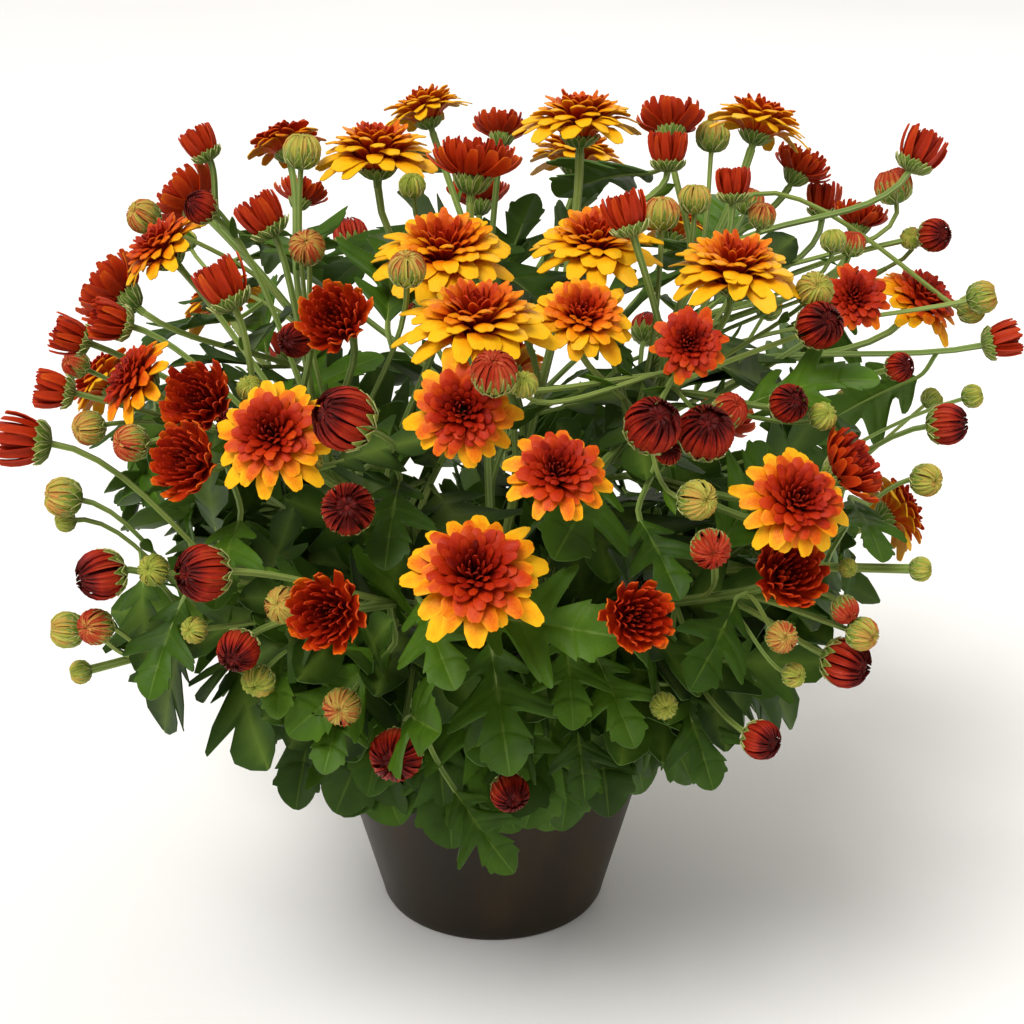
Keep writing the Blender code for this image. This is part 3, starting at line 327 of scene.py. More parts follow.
# %% [markdown]
# ## How the stems reach the heads
# Fifteen stems leave the soil, and each head joins the stem that leans its way, by a stalk that forks off at
# a natural angle. Several forks and bends would do, and the solids hold the one that was clear of its
# neighbours. So each rule below lists the choices in order, and `on_skin` picks the one that the solid has:
# points of the right choice lie on the solid's skin, to within a few hundredths of a millimetre.

# %% Follow the stems and stalks of the solids
SOIL_TOP = 0.096
STEM_DEPTH = 0.028
GAP = 0.0004
STEM_RINGS = ((0.0, 1, 0, 0), (0.022, 5, 18, 36), (0.045, 9, 10, 68))
STEM_RADIUS = 0.0024
STEM_TOP_RADIUS = 0.0016
STEM_SIDES = 4
STEM_STEPS = 5
STALK_RADIUS = {"open": 0.0014, "half": 0.0014, "brush": 0.0013, "ball": 0.0012, "bud": 0.001, "pip": 0.0009}
STALK_SIDES = {"open": 4, "half": 4, "brush": 5, "ball": 5, "bud": 4, "pip": 4}
STALK_SHORTEST = 0.012
STALK_SHORT = 0.024
STALK_FORK = 0.6
STALK_THRIFT = 4.0
STALK_TIP = 0.001
FIRST_FORK = 6
FORK_CHOICES = 12
COLLAR_HEIGHT = 0.006
HEAD_TRIES = 8
HEAD_STEP = 0.003
STEM_BENDS = ((0.35, 0.3), (0.25, 0.3), (0.35, 0.15), (0.2, 0.15), (0.45, 0.4), (0.15, 0.05), (0.5, 0.1))
STALK_BENDS = ((0.35, 0.3), (0.2, 0.15), (0.45, 0.1), (0.1, 0.4), (0.05, 0.05))
FAN_POINT = Vector((0.0, 0.0, 0.090))
# Where the first ring of what each stalk carries is, as a share of the head's width along its facing
FIRST_RING = {"open": -0.13, "half": -0.24, "brush": 0.12, "ball": 0.12, "bud": 0.12, "pip": 0.35}
SKIN = 0.00004
SKIN_SHARE = 0.6
# The tests of a tube lie at these shares of its long edges
EDGE_SHARES = (0.6, 0.85)

# %% Feel the skins of the solids
skins = {}
for name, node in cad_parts.items():
    corners = [vertex.co.copy() for vertex in node.data.vertices]
    skins[name] = BVHTree.FromPolygons(corners, [tuple(face.vertices) for face in node.data.polygons])

# A line of growth: its coarse points, its smooth bend, its radii at the ends, and what it carries
Line = namedtuple("Line", "points bend radii owner")
Bend = namedtuple("Bend", "start first second end")


def on_skin(points, owner):
    """Whether most of some points lie on the skin of a solid."""
    hits = 0
    for point in points:
        nearest = skins[owner].find_nearest(point, SKIN * 4)
        hits += nearest[0] is not None and nearest[3] < SKIN
    return hits >= SKIN_SHARE * len(points)


def ring_corners(path, radius, sides):
    """The corners of the rings of a coarse tube along a path."""
    rings = []
    side = Vector((1, 0, 0))
    for index, centre in enumerate(path):
        tangent = (path[min(index + 1, len(path) - 1)] - path[max(index - 1, 0)]).normalized()
        turned = side - tangent * side.dot(tangent)
        if turned.length < 0.2:
            turned = tangent.orthogonal()
        side = turned.normalized()
        other = tangent.cross(side)
        angles = [math.tau * corner / sides for corner in range(sides)]
        size = radius[index]
        rings.append([centre + side * (math.cos(a) * size) + other * (math.sin(a) * size) for a in angles])
    return rings


def tube_is_there(path, radius, sides, rings, owner):
    """Whether the solid has this tube: points of its long edges, well clear of its foot, are on the skin."""
    corners = ring_corners(path, radius, sides)
    tests = []
    for ring in rings:
        for low, high in zip(corners[ring], corners[ring + 1]):
            tests += [low.lerp(high, share) for share in EDGE_SHARES]
    return on_skin(tests, owner)


# %% Find where a stalk ends
def seat_of(place):
    """Where a head is seated: the foot of its florets or its globe."""
    return place.middle - place.face * (place.across * HEAD_LIFT[place.kind])


def stands_alone(place):
    """Whether a head is a node of its own."""
    return place.kind in ("open", "half") and place.across * 1000 >= OWN_NODE_WIDTH


def stalk_end(place):
    """Where the stalk of a head ends."""
    drop = GAP if stands_alone(place) else 0
    return seat_of(place) + place.face * (FIRST_RING[place.kind] * place.across - drop)


def bend_of(start, leave, arrive, end):
    """The smooth bend with the directions and ends of a coarse curve."""
    length = (end - start).length
    return Bend(start, start + leave * length, end - arrive * length, end)


# %% Lean the stems
def spray_axes():
    """The holes in the soil, and the directions that their stems lean in."""
    axes = []
    for ring_radius, count, first, polar in STEM_RINGS:
        for step in range(count):
            azimuth = math.radians(first) + math.tau * step / count
            outward = Vector((math.cos(azimuth), math.sin(azimuth), 0))
            lean = outward * math.sin(math.radians(polar)) + Vector((0, 0, math.cos(math.radians(polar))))
            axes.append((outward * ring_radius, lean))
    return axes


# %% Find the stalk of a head
def dotted(curve, parts=4):
    """A coarse curve with each of its pieces divided."""
    points = [a.lerp(b, part / parts) for a, b in zip(curve, curve[1:]) for part in range(parts)]
    return points + [curve[-1]]


def on_bend(line, step):
    """The point of a line's smooth bend that goes with one of its coarse points."""
    return bezier(*line.bend, step / (len(line.points) - 1))


def find_stalk(place, stem, owner):
    """The stalk that the solid has for a head: which fork of the stem, and which bend."""
    end = stalk_end(place)
    radius, sides = STALK_RADIUS[place.kind], STALK_SIDES[place.kind]
    options = []
    for fork in range(FIRST_FORK, len(stem.points) - 1):
        to_head = end - stem.points[fork]
        ahead = (stem.points[fork + 1] - stem.points[fork - 1]).normalized()
        if to_head.length > STALK_SHORTEST:
            rank = abs(ahead.angle(to_head) - STALK_FORK) + to_head.length * STALK_THRIFT
            options.append((rank, fork, ahead))
    options.sort(key=lambda option: option[0])
    for _, fork, ahead in options[:FORK_CHOICES]:
        for leave, arrive in STALK_BENDS:
            steps = 1 if (end - stem.points[fork]).length < STALK_SHORT else 2
            curve = curve_points(stem.points[fork], ahead * leave, place.face * arrive, end, steps)
            path = curve + [end + place.face * STALK_TIP]
            if tube_is_there(path, [radius] * (steps + 2), sides, range(steps), owner):
                foot = on_bend(stem, fork)
                bend = bend_of(foot, ahead * leave, place.face * arrive, end)
                return Line(dotted(curve), bend, (radius, radius), owner)
    return None


# %% Follow every stem
def follow_stems():
    """Each stem with its stalks and its heads, as the solids have them."""
    axes = spray_axes()
    groups = [[] for _ in axes]
    for index, place in enumerate(places):
        direction = (seat_of(place) - FAN_POINT).normalized()
        groups[max(range(len(axes)), key=lambda axis: direction.dot(axes[axis][1]))].append(index)
    sprays, missed = [], []
    for number, ((hole, lean), group) in enumerate(zip(axes, groups)):
        owner = f"stem_{number + 1:02d}"
        foot = Vector((hole.x, hole.y, SOIL_TOP - STEM_DEPTH + GAP))
        collar = Vector((hole.x, hole.y, SOIL_TOP + COLLAR_HEIGHT))
        ranked = sorted(group, key=lambda index: (
            not stands_alone(places[index]), -(seat_of(places[index]) - FAN_POINT).normalized().dot(lean)))
        leader = places[ranked[0]]
        end = stalk_end(leader)
        radii = [STEM_RADIUS] + [STEM_RADIUS + (STEM_TOP_RADIUS - STEM_RADIUS) * step / STEM_STEPS
                                 for step in range(STEM_STEPS + 1)]
        for up, arrive in STEM_BENDS:
            curve = curve_points(collar, Vector((0, 0, up)), leader.face * arrive, end, STEM_STEPS)
            if tube_is_there([foot] + curve, radii, STEM_SIDES, (1, 2, 3), owner):
                break
        else:
            missed.append(owner)
        bend = bend_of(collar, Vector((0, 0, up)), leader.face * arrive, end)
        lines = [Line(dotted(curve), bend, (STEM_RADIUS, STEM_TOP_RADIUS), owner)]
        seated = [(leader, lines[0])]
        for index in ranked[1:]:
            for deeper in range(HEAD_TRIES):
                sight = (places[index].middle - EYE).normalized()
                place = places[index]._replace(middle=places[index].middle + sight * (deeper * HEAD_STEP))
                found = find_stalk(place, lines[0], owner)
                if found or stands_alone(place):
                    break
            if found:
                lines.append(found)
                seated.append((place, found))
            else:
                missed.append((owner, place.kind))
        sprays.append((owner, foot, lines, seated))
    line_count = sum(len(lines) for _, _, lines, _ in sprays)
    print(len(sprays), "stems with", line_count, "lines; not found:", missed)
    return sprays


sprays = follow_stems()

# %% [markdown]
# ## Where the leaves are
# The leaves of the solids grow from points of the stems and stalks, some of them at places that the picture
# shows and the rest spread over the dome. Each has a lobed blade on a short stalk. The same run of random
# numbers is drawn in the same order here, and the skin test again tells which tries became leaves.

# %% Follow the leaves of the solids
SEED = 7
SOIL_LUMPS = 25
LEAF_EDGE = ((0.20, 0.25), (0.34, 0.13), (0.54, 0.37), (0.64, 0.17), (0.86, 0.22))
LEAF_STALK = 0.014
LEAF_BEND = math.radians(75)
LEAF_COUNT = 70
LEAF_REACH_TRIES = (0, -0.04, 0.04, -0.08, -0.12, 0.08)
# A leaf that shows in full: how far its foot may be from its blade, and how it is held
SEEN_DISTANCES = (0.006, 0.060)
SEEN_BASES = 14
SEEN_UPTURN = 0.4
SEEN_ARCH = 0.06
SEEN_FOLD = 0.1
# A leaf that is spread over the dome
SPREAD_HIGHEST = 0.98
SPREAD_DEPTH = 1.42
SPREAD_TRIES = 18
SPREAD_TURN = 0.12
SPREAD_REACHES = (0.74, 0.9)
SPREAD_RETREAT = 0.012
SPREAD_LOWEST = 0.118
SPREAD_DISTANCES = (0.020, 0.052)
# How leaves are held: ranges of their length, tilt, arch, fold and tone, and how far they face upward
Habit = namedtuple("Habit", "lengths tilt upturn arches folds tones")
SPREAD_HABIT = Habit((0.044, 0.060), 0.3, 0.5, (0.02, 0.1), (0.05, 0.25), (0.25, 0.75))
Leaf = namedtuple("Leaf", "base root tip normal arch fold")
SeenLeaf = namedtuple("SeenLeaf", "root tip root_reach tip_reach")
SEEN_LEAVES = [
    SeenLeaf((490, 641), (510, 776), 0.66, 0.84),
    SeenLeaf((455, 790), (514, 873), 0.66, 0.82),
    SeenLeaf((390, 650), (288, 735), 0.70, 0.84),
    SeenLeaf((350, 685), (339, 777), 0.70, 0.84),
    SeenLeaf((565, 630), (573, 730), 0.70, 0.82),
    SeenLeaf((595, 655), (635, 748), 0.70, 0.84),
    SeenLeaf((575, 712), (585, 801), 0.66, 0.78),
    SeenLeaf((735, 600), (690, 690), 0.78, 0.86),
    SeenLeaf((680, 690), (713, 790), 0.72, 0.84),
    SeenLeaf((850, 500), (882, 562), 0.85, 0.96),
    SeenLeaf((184, 598), (149, 700), 0.84, 0.94),
    SeenLeaf((285, 640), (278, 719), 0.75, 0.86),
    SeenLeaf((420, 600), (455, 690), 0.72, 0.84),
    SeenLeaf((240, 520), (215, 610), 0.78, 0.90),
    SeenLeaf((640, 520), (680, 600), 0.78, 0.88),
    SeenLeaf((400, 480), (385, 570), 0.76, 0.88),
]


# %% Measure a leaf and look for its foot
def leaf_axes(leaf):
    """The size of a blade and its three directions: along, to the side, and up from its face."""
    along = (leaf.tip - leaf.root).normalized()
    normal = (leaf.normal - along * leaf.normal.dot(along)).normalized()
    return (leaf.tip - leaf.root).length, along, normal.cross(along), normal


def leaf_outline(leaf):
    """The corners of the cut edge of a leaf in the solids."""
    blade, along, side, normal = leaf_axes(leaf)
    corners = []
    for share, aside in LEAF_EDGE:
        lift = leaf.arch * blade * 4 * share * (1 - share) + aside * blade * leaf.fold
        for sign in (-1, 1):
            edge = leaf.root + along * (share * blade) + side * (aside * sign * blade)
            corners.append(edge + normal * lift)
    return corners


def stalk_bases(target, least, most):
    """Points of stems and stalks about a leaf's length from a target, the nearest first."""
    near = []
    for owner, _, lines, _ in sprays:
        for line in lines:
            for step in range(2, len(line.points) - 1):
                distance = (line.points[step] - target).length
                if least < distance < most:
                    near.append((distance, line, step))
    near.sort(key=lambda entry: entry[0])
    return near


def found_leaf(leaf, line, step):
    """A leaf with its foot on the smooth bend, if the solid has it."""
    if on_skin(leaf_outline(leaf), line.owner):
        return [(line.owner, leaf._replace(base=on_bend(line, step)))]
    return []


# %% Find the leaves that show in full
def seen_leaf(seen):
    """One of the leaves that show in full."""
    for shift in LEAF_REACH_TRIES:
        root = on_dome(*seen.root, seen.root_reach + shift)
        tip = on_dome(*seen.tip, seen.tip_reach + shift)
        normal = TOWARD + (root - DOME_CENTRE).normalized() + UP * SEEN_UPTURN
        for _, line, step in stalk_bases(root, *SEEN_DISTANCES)[:SEEN_BASES]:
            if (root - line.points[step]).angle(tip - root) < LEAF_BEND:
                leaf = Leaf(line.points[step], root, tip, normal, SEEN_ARCH, SEEN_FOLD)
                found = found_leaf(leaf, line, step)
                if found:
                    return found
    return []


# %% Find the leaves that are spread over the dome
def drawn_leaf(habit, draws, base, root, ahead, outward):
    """A leaf that runs ahead from its root, faces outward and upward, and is drawn from its habit."""
    tip = root + ahead * draws.uniform(*habit.lengths)
    tilt = habit.tilt
    normal = outward + Vector((draws.uniform(-tilt, tilt), draws.uniform(-tilt, tilt), habit.upturn))
    return Leaf(base, root, tip, normal, draws.uniform(*habit.arches), draws.uniform(*habit.folds))


def spread_leaf(turn, draw):
    """One of the leaves that are spread over the dome, under the heads."""
    height = SPREAD_HIGHEST - SPREAD_DEPTH * (turn + 0.5) / LEAF_COUNT
    level = math.sqrt(max(1 - height * height, 0))
    for attempt in range(SPREAD_TRIES):
        angle = turn * GOLDEN_ANGLE + draw.uniform(-SPREAD_TURN, SPREAD_TURN)
        outward = Vector((level * math.cos(angle), level * math.sin(angle), height))
        share = draw.uniform(*SPREAD_REACHES) - attempt * SPREAD_RETREAT
        middle = DOME_CENTRE + outward * Vector((DOME_RADIUS, DOME_RADIUS, DOME_HEIGHT)) * share
        middle.z = max(middle.z, SPREAD_LOWEST)
        near = stalk_bases(middle, *SPREAD_DISTANCES)
        if not near:
            continue
        _, line, step = near[min(attempt // 2, len(near) - 1)]
        ahead = (middle - line.points[step]).normalized()
        root = line.points[step] + ahead * LEAF_STALK
        leaf = drawn_leaf(SPREAD_HABIT, draw, line.points[step], root, ahead, outward)
        found = found_leaf(leaf, line, step)
        if found:
            return found
    return []


# %% Follow every leaf
draw = random.Random(SEED)
for _ in range(SOIL_LUMPS):
    draw.uniform(0, 1)
leaves = [leaf for seen in SEEN_LEAVES for leaf in seen_leaf(seen)]
print(len(leaves), "of", len(SEEN_LEAVES), "leaves that show in full")
for turn in range(LEAF_COUNT):
    leaves += spread_leaf(turn, draw)
print(len(leaves), "leaves in all")

# %% [markdown]
# ## One strip for every petal and scale
# Petals, sepals, bracts and leaf blades are all thin strips with an outline of their own. Each kind is modelled
# once, flat: a grid whose rows are resized to the outline, given its thickness by Solidify. It is kept as
# numbers, and each copy is bent along a path, as a paper petal is curled over a pencil. A copy costs a few
# dozen faces, so a bloom of a hundred petals stays light.

# %% Model the strips
Strip = namedtuple("Strip", "across along side edge faces")


def pick(test):
    """Selects in edit mode the vertices whose place passes a test, and nothing else."""
    bpy.ops.mesh.select_all(action="DESELECT")
    body = bmesh.from_edit_mesh(bpy.context.edit_object.data)
    for vertex in body.verts:
        vertex.select = test(vertex.co)
    body.select_flush_mode()
    bmesh.update_edit_mesh(bpy.context.edit_object.data)


def walled(item):
    """Closes a flat sheet with Solidify and gives its points and faces. The sheet itself is removed."""
    bpy.ops.object.mode_set(mode="OBJECT")
    wall = item.modifiers.new("wall", "SOLIDIFY")
    wall.thickness = 1
    wall.offset = 0
    bpy.ops.object.modifier_apply(modifier="wall")
    points = np.array([vertex.co for vertex in item.data.vertices])
    # The bend mirrors a strip, so its faces are kept turned round
    faces = np.array([tuple(face.vertices)[::-1] for face in item.data.polygons])
    print(item.name, len(points), "points", len(faces), "faces")
    bpy.data.objects.remove(item, do_unlink=True)
    return points, faces


def model_strip(name, columns, widths, notch=0.0, shoulder=0.0):
    """A flat closed strip: its rows are as wide as widths says, and its tip has a notch and shoulders."""
    rows = len(widths) - 1
    bpy.ops.mesh.primitive_grid_add(x_subdivisions=columns, y_subdivisions=rows, size=2)
    item = bpy.context.object
    item.name = name
    bpy.ops.object.mode_set(mode="EDIT")
    for row, width in enumerate(widths):
        height = 2 * row / rows - 1
        pick(lambda place: abs(place.y - height) < 0.01)
        bpy.ops.transform.resize(value=(width, 1, 1))
    if notch:
        pick(lambda place: place.y > 0.99 and abs(place.x) < 0.01)
        bpy.ops.transform.translate(value=(0, -notch, 0))
    if shoulder:
        pick(lambda place: place.y > 0.99 and abs(place.x) > widths[-1] * 0.9)
        bpy.ops.transform.translate(value=(0, -shoulder, 0))
    points, faces = walled(item)
    along = (points[:, 1] + 1) / 2
    edge = points[:, 0] / np.interp(along, np.linspace(0, 1, rows + 1), widths)
    return Strip(points[:, 0], along, np.sign(points[:, 2]), np.clip(edge, -1, 1), faces)


# %% Model each kind of strip
BROAD_PETAL = model_strip("broad_petal", 4, (0.40, 0.60, 0.88, 1.0, 0.97, 0.60), notch=0.015, shoulder=0.07)
SPOON_PETAL = model_strip("spoon_petal", 2, (0.42, 0.62, 0.92, 1.0, 0.50), notch=-0.08)
STRAP_PETAL = model_strip("strap_petal", 2, (0.75, 0.95, 1.0, 1.0, 0.95, 0.85, 0.55), notch=-0.06)
SCALE = model_strip("scale", 2, (0.80, 1.0, 0.78, 0.08))
BRACT = model_strip("bract", 2, (0.30, 0.75, 1.0, 0.90, 0.55, 0.06))

# %% [markdown]
# ## Bending strips about a head
# A head is drawn like a turner's section: how far out from its axis a petal runs, and how high. Every petal
# has such a path and an azimuth. `fan_out` bends the strip along it, cups or arches it across, and gives each
# point four marks that the finishes read: its tone, how far along and across the strip it is, and whether
# it is on the reverse.

# %% Bend strips along paths
Batch = namedtuple("Batch", "points faces marks")
SMOOTH_ANGLE = math.radians(58)


def fan_out(strip, azimuth, paths, half_width, spread=None,
            cup=0.0, roll=0.0, sway=0.0, thick=0.0004, tone=0.0):
    """Copies of a strip, each bent along its (radius, height) path at its azimuth about +Z."""
    count, knots = paths.shape[:2]
    place = strip.along * (knots - 1)
    low = np.clip(place.astype(int), 0, knots - 2)
    share = (place - low)[None, :, None]
    centre = paths[:, low] * (1 - share) + paths[:, low + 1] * share
    slopes = np.gradient(paths, axis=1)
    slope = slopes[:, low] * (1 - share) + slopes[:, low + 1] * share
    slope /= np.maximum(np.linalg.norm(slope, axis=2, keepdims=True), 1e-9)
    swing = np.asarray(roll).reshape(-1, 1) * strip.along[None, :]
    wide = np.asarray(half_width).reshape(-1, 1) * strip.across[None, :]
    if spread is not None:
        wide = wide * np.interp(strip.along, np.linspace(0, 1, len(spread)), spread)[None, :]
    lift = np.asarray(cup).reshape(-1, 1) * np.abs(wide) * np.abs(strip.edge)[None, :]
    lift = lift + strip.side[None, :] * thick / 2
    aside = wide * np.cos(swing) - lift * np.sin(swing)
    aside = aside + np.asarray(sway).reshape(-1, 1) * strip.along[None, :] ** 2
    above = wide * np.sin(swing) + lift * np.cos(swing)
    radius = centre[:, :, 0] - slope[:, :, 1] * above
    height = centre[:, :, 1] + slope[:, :, 0] * above
    turn = np.asarray(azimuth).reshape(-1, 1)
    points = np.stack([radius * np.cos(turn) - aside * np.sin(turn),
                       radius * np.sin(turn) + aside * np.cos(turn), height], axis=2)
    marks = np.empty((count, len(strip.along), 4))
    marks[:, :, 0] = tone
    marks[:, :, 1] = strip.along
    marks[:, :, 2] = (strip.edge + 1) / 2
    marks[:, :, 3] = strip.side < 0
    faces = strip.faces[None] + (np.arange(count) * len(strip.along))[:, None, None]
    return Batch(points.reshape(-1, 3), faces.reshape(-1, 4), marks.reshape(-1, 4))


# %% Move strips and make pieces of them
def moved(batch, seat, face, roll=0.0):
    """A batch made about +Z, moved to a seat and turned to a facing."""
    turn = face.to_track_quat("Z", "Y") @ Matrix.Rotation(roll, 3, "Z").to_quaternion()
    matrix = np.array(turn.to_matrix())
    return Batch(batch.points @ matrix.T + np.array(seat), batch.faces, batch.marks)


def marked_object(name, points, faces, marks, finish):
    """A new object with a mark on each of its points, and with its finish."""
    mesh = bpy.data.meshes.new(name)
    mesh.from_pydata(np.concatenate(points).tolist(), [], faces)
    layer = mesh.attributes.new("mark", "FLOAT_COLOR", "POINT")
    layer.data.foreach_set("color", np.concatenate(marks).astype(np.float32).ravel())
    mesh.materials.append(finish)
    item = bpy.data.objects.new(name, mesh)
    bpy.context.scene.collection.objects.link(item)
    return item


def smooth_below(item, angle):
    """Shades an object smooth, apart from the edges that are sharper than an angle."""
    bpy.ops.object.select_all(action="DESELECT")
    item.select_set(True)
    bpy.context.view_layer.objects.active = item
    bpy.ops.object.shade_smooth_by_angle(angle=angle)


def make_piece(name, batches, finish, node):
    """One mesh of many batches, with its marks, its finish and the node that it stands for."""
    starts = np.cumsum([0] + [len(batch.points) for batch in batches[:-1]])
    faces = [face for batch, start in zip(batches, starts) for face in (batch.faces + start).tolist()]
    points, marks = [batch.points for batch in batches], [batch.marks for batch in batches]
    piece = marked_object(name, points, faces, marks, finish)
    smooth_below(piece, SMOOTH_ANGLE)
    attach(piece, "root")
    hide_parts(node)


# %% Draw tubes
def tube(path, radii, sides, tone=0.5, ridge=0.0):
    """A closed tube along a path. Its ridges run lengthwise, and its marks hold how high each one stands."""
    path = np.array(path, float)
    radii = np.asarray(radii, float)
    tangents = np.gradient(path, axis=0)
    tangents /= np.maximum(np.linalg.norm(tangents, axis=1, keepdims=True), 1e-9)
    side = np.array([1.0, 0, 0])
    rings = []
    angles = np.arange(sides) * math.tau / sides
    crest = 0.5 + 0.5 * np.cos(angles * sides / 2)
    for centre, tangent, radius in zip(path, tangents, radii):
        side = side - tangent * side.dot(tangent)
        if np.linalg.norm(side) < 0.2:
            side = np.cross(tangent, [0, 1.0, 0.3])
        side /= np.linalg.norm(side)
        other = np.cross(tangent, side)
        size = (radius * (1 + ridge * (crest - 0.5)))[:, None]
        ring = np.cos(angles)[:, None] * side + np.sin(angles)[:, None] * other
        rings.append(centre + ring * size)
    count = len(path)
    points = np.concatenate(rings + [path[:1], path[-1:]])
    faces = []
    for ring in range(count - 1):
        for corner in range(sides):
            a, b = ring * sides + corner, ring * sides + (corner + 1) % sides
            faces.append([a, b, b + sides, a + sides])
    foot, tip = count * sides, count * sides + 1
    for corner in range(0, sides, 2):
        a, b, c = corner, (corner + 1) % sides, (corner + 2) % sides
        faces.append([foot, c, b, a])
        top = (count - 1) * sides
        faces.append([tip, top + a, top + b, top + c])
    marks = np.zeros((len(points), 4))
    marks[:, 0] = tone
    marks[:-2, 1] = np.repeat(np.linspace(0, 1, count), sides)
    marks[:-2, 2] = np.tile(crest, count)
    return Batch(points, np.array(faces), marks)


# %% [markdown]
# ## Open blooms
# An open chrysanthemum has a hundred florets or more, set by the golden angle on a small disc. The oldest lie
# flat round the edge, broad and golden. Towards the middle they get shorter and redder, and stand up, until
# the youngest are dark grains in a sunken eye. One rule over a single share, from 0 at the eye to 1 at the
# edge, gives each floret its tip, its root, its width, its arch and its tone.

# %% Lay out a bloom
PETAL_SEED = 21
dice = np.random.default_rng(PETAL_SEED)
# Each rule gives, for some shares from the eye to the edge, where the tip of a floret stands and how wide it
# is, as shares of the bloom's radius, its cup and its tone. The bow is the middle of its path.
Rosette = namedtuple("Rosette", "count share radius height width cup tone bow root")
ROSETTES = {
    "open": Rosette(
        104, (0.0, 0.38, 0.68, 0.86, 1.0), (0.03, 0.37, 0.63, 0.83, 1.0), (0.60, 0.63, 0.47, 0.22, -0.08),
        (0.034, 0.070, 0.108, 0.140, 0.156), (-0.50, -0.45, -0.28, -0.10, -0.04),
        (0.97, 0.84, 0.71, 0.30, 0.02), (0.40, 0.80, 0.38), 0.02),
    "half": Rosette(
        78, (0.0, 0.36, 0.66, 0.84, 1.0), (0.04, 0.38, 0.70, 0.90, 1.02), (0.66, 0.80, 0.78, 0.67, 0.46),
        (0.040, 0.080, 0.122, 0.150, 0.168), (-0.50, -0.50, -0.45, -0.35, -0.20),
        (1.0, 0.90, 0.81, 0.73, 0.64), (0.85, 0.34, 0.04), 0.02),
    "brush": Rosette(
        52, (0.0, 0.36, 0.66, 0.84, 1.0), (0.05, 0.38, 0.62, 0.80, 0.92), (1.55, 1.78, 1.90, 1.88, 1.74),
        (0.070, 0.115, 0.150, 0.178, 0.195), (-0.40, -0.45, -0.45, -0.40, -0.35),
        (1.0, 0.92, 0.82, 0.76, 0.72), (0.95, 0.28, 0.0), 0.26),
}
OUTER_SHARE = 0.58
# A bloom this wide has all its florets, and the smallest have this share fewer
FULL_ACROSS = 0.045
FEWER = 0.2
# Florets crowd towards the edge as their share rises
CROWDING = 0.82
# Blooms narrower than the first width still cup upwards, in full below the second
OPENING_ACROSS = (0.041, 0.014)
YOUNG_RISE = 0.30
YOUNG_SHIFT = 0.20
FLORET_THICKNESS = 0.0004
PATH_KNOTS = 9
ORANGE_ROOTS = 0.62
ORANGE_EDGE = 0.14
ORANGE_TIP = {"open": 0.08, "half": 0.20, "brush": 0.08}
# What a fully ripe bloom takes off the tone of its florets, from the eye to the edge
RIPE_GOLD = (0.16, 0.38, 0.50, 0.40, 0.06)


# %% Set out the florets of a bloom
def bloom_florets(kind, across, ripe=0.0):
    """The florets of a bloom about +Z, with the foot of its cup at the origin."""
    rule = ROSETTES[kind]
    radius = across / 2
    count = int(rule.count * (1 - FEWER + FEWER * min(across / FULL_ACROSS, 1)))
    share = ((np.arange(count) + 0.5) / count) ** CROWDING
    azimuth = np.arange(count) * GOLDEN_ANGLE + dice.normal(0, 0.06, count)
    widest, range_of_widths = OPENING_ACROSS
    youth = np.clip((widest - across) / range_of_widths, 0, 1) if kind == "open" else 0
    tip_radius = np.interp(share, rule.share, rule.radius) * dice.normal(1, 0.055, count)
    tip_height = np.interp(share, rule.share, rule.height) + dice.normal(0, 0.04, count)
    tip_height += YOUNG_RISE * youth * share ** 2
    root_radius = 0.04 + 0.18 * share
    root_height = rule.root + 0.12 * (1 - share)
    reach, rise, arch = rule.bow
    middle_radius = root_radius + (tip_radius - root_radius) * reach
    middle_height = root_height + (tip_height - root_height) * rise + arch * share ** 2
    steps = np.linspace(0, 1, PATH_KNOTS)[None, :]
    knots = [(root_radius, root_height), (middle_radius, middle_height), (tip_radius, tip_height)]
    weights = [(1 - steps) ** 2, 2 * steps * (1 - steps), steps ** 2]
    paths = sum(np.stack([out[:, None] * weight, up[:, None] * weight], axis=2)
                for (out, up), weight in zip(knots, weights)) * radius
    half_width = np.interp(share, rule.share, rule.width) * radius * dice.uniform(0.84, 1.12, count)
    cup = np.interp(share, rule.share, rule.cup)
    level = np.interp(share - YOUNG_SHIFT * youth, rule.share, rule.tone) + dice.normal(0, 0.05, count)
    gold = ripe * np.interp(share, rule.share, RIPE_GOLD)
    roll = dice.normal(0, 0.25, count) * share
    sway = dice.normal(0, 0.07, count) * radius * share
    batches = []
    outer = BROAD_PETAL if kind == "open" else STRAP_PETAL
    for strip, chosen in ((SPOON_PETAL, share < OUTER_SHARE), (outer, share >= OUTER_SHARE)):
        along = np.clip(strip.along, 0, 1)[None, :]
        base = level[chosen][:, None]
        tone = base + ORANGE_ROOTS * (1 - along) ** 1.3 * (1 - base)
        tone = tone - ORANGE_EDGE * strip.edge[None, :] ** 2 * (1 - base) * 2
        tone = tone - ORANGE_TIP[kind] * np.clip((along - 0.75) / 0.25, 0, 1) * share[chosen][:, None]
        tone = tone - gold[chosen][:, None] * np.clip((along - 0.35) / 0.35, 0, 1)
        batches.append(fan_out(
            strip, azimuth[chosen], paths[chosen], half_width[chosen], cup=cup[chosen], roll=roll[chosen],
            sway=sway[chosen], thick=FLORET_THICKNESS, tone=np.clip(tone, 0, 1)))
    return batches


# %% [markdown]
# ## Buds
# A bud is a ball of the same florets, still folded in. They run like the ribs of a globe from the stalk to a
# sunken eye, and the furrows between them get painted shade, each rib darker towards its edges. Green scales
# hold the ball from below. The younger the bud, the further the scales reach and the greener the ribs are,
# until a pip is nearly all scales.

# %% Lay out a bud
Globe = namedtuple("Globe", "ribs mouth sunk young ripe scales")
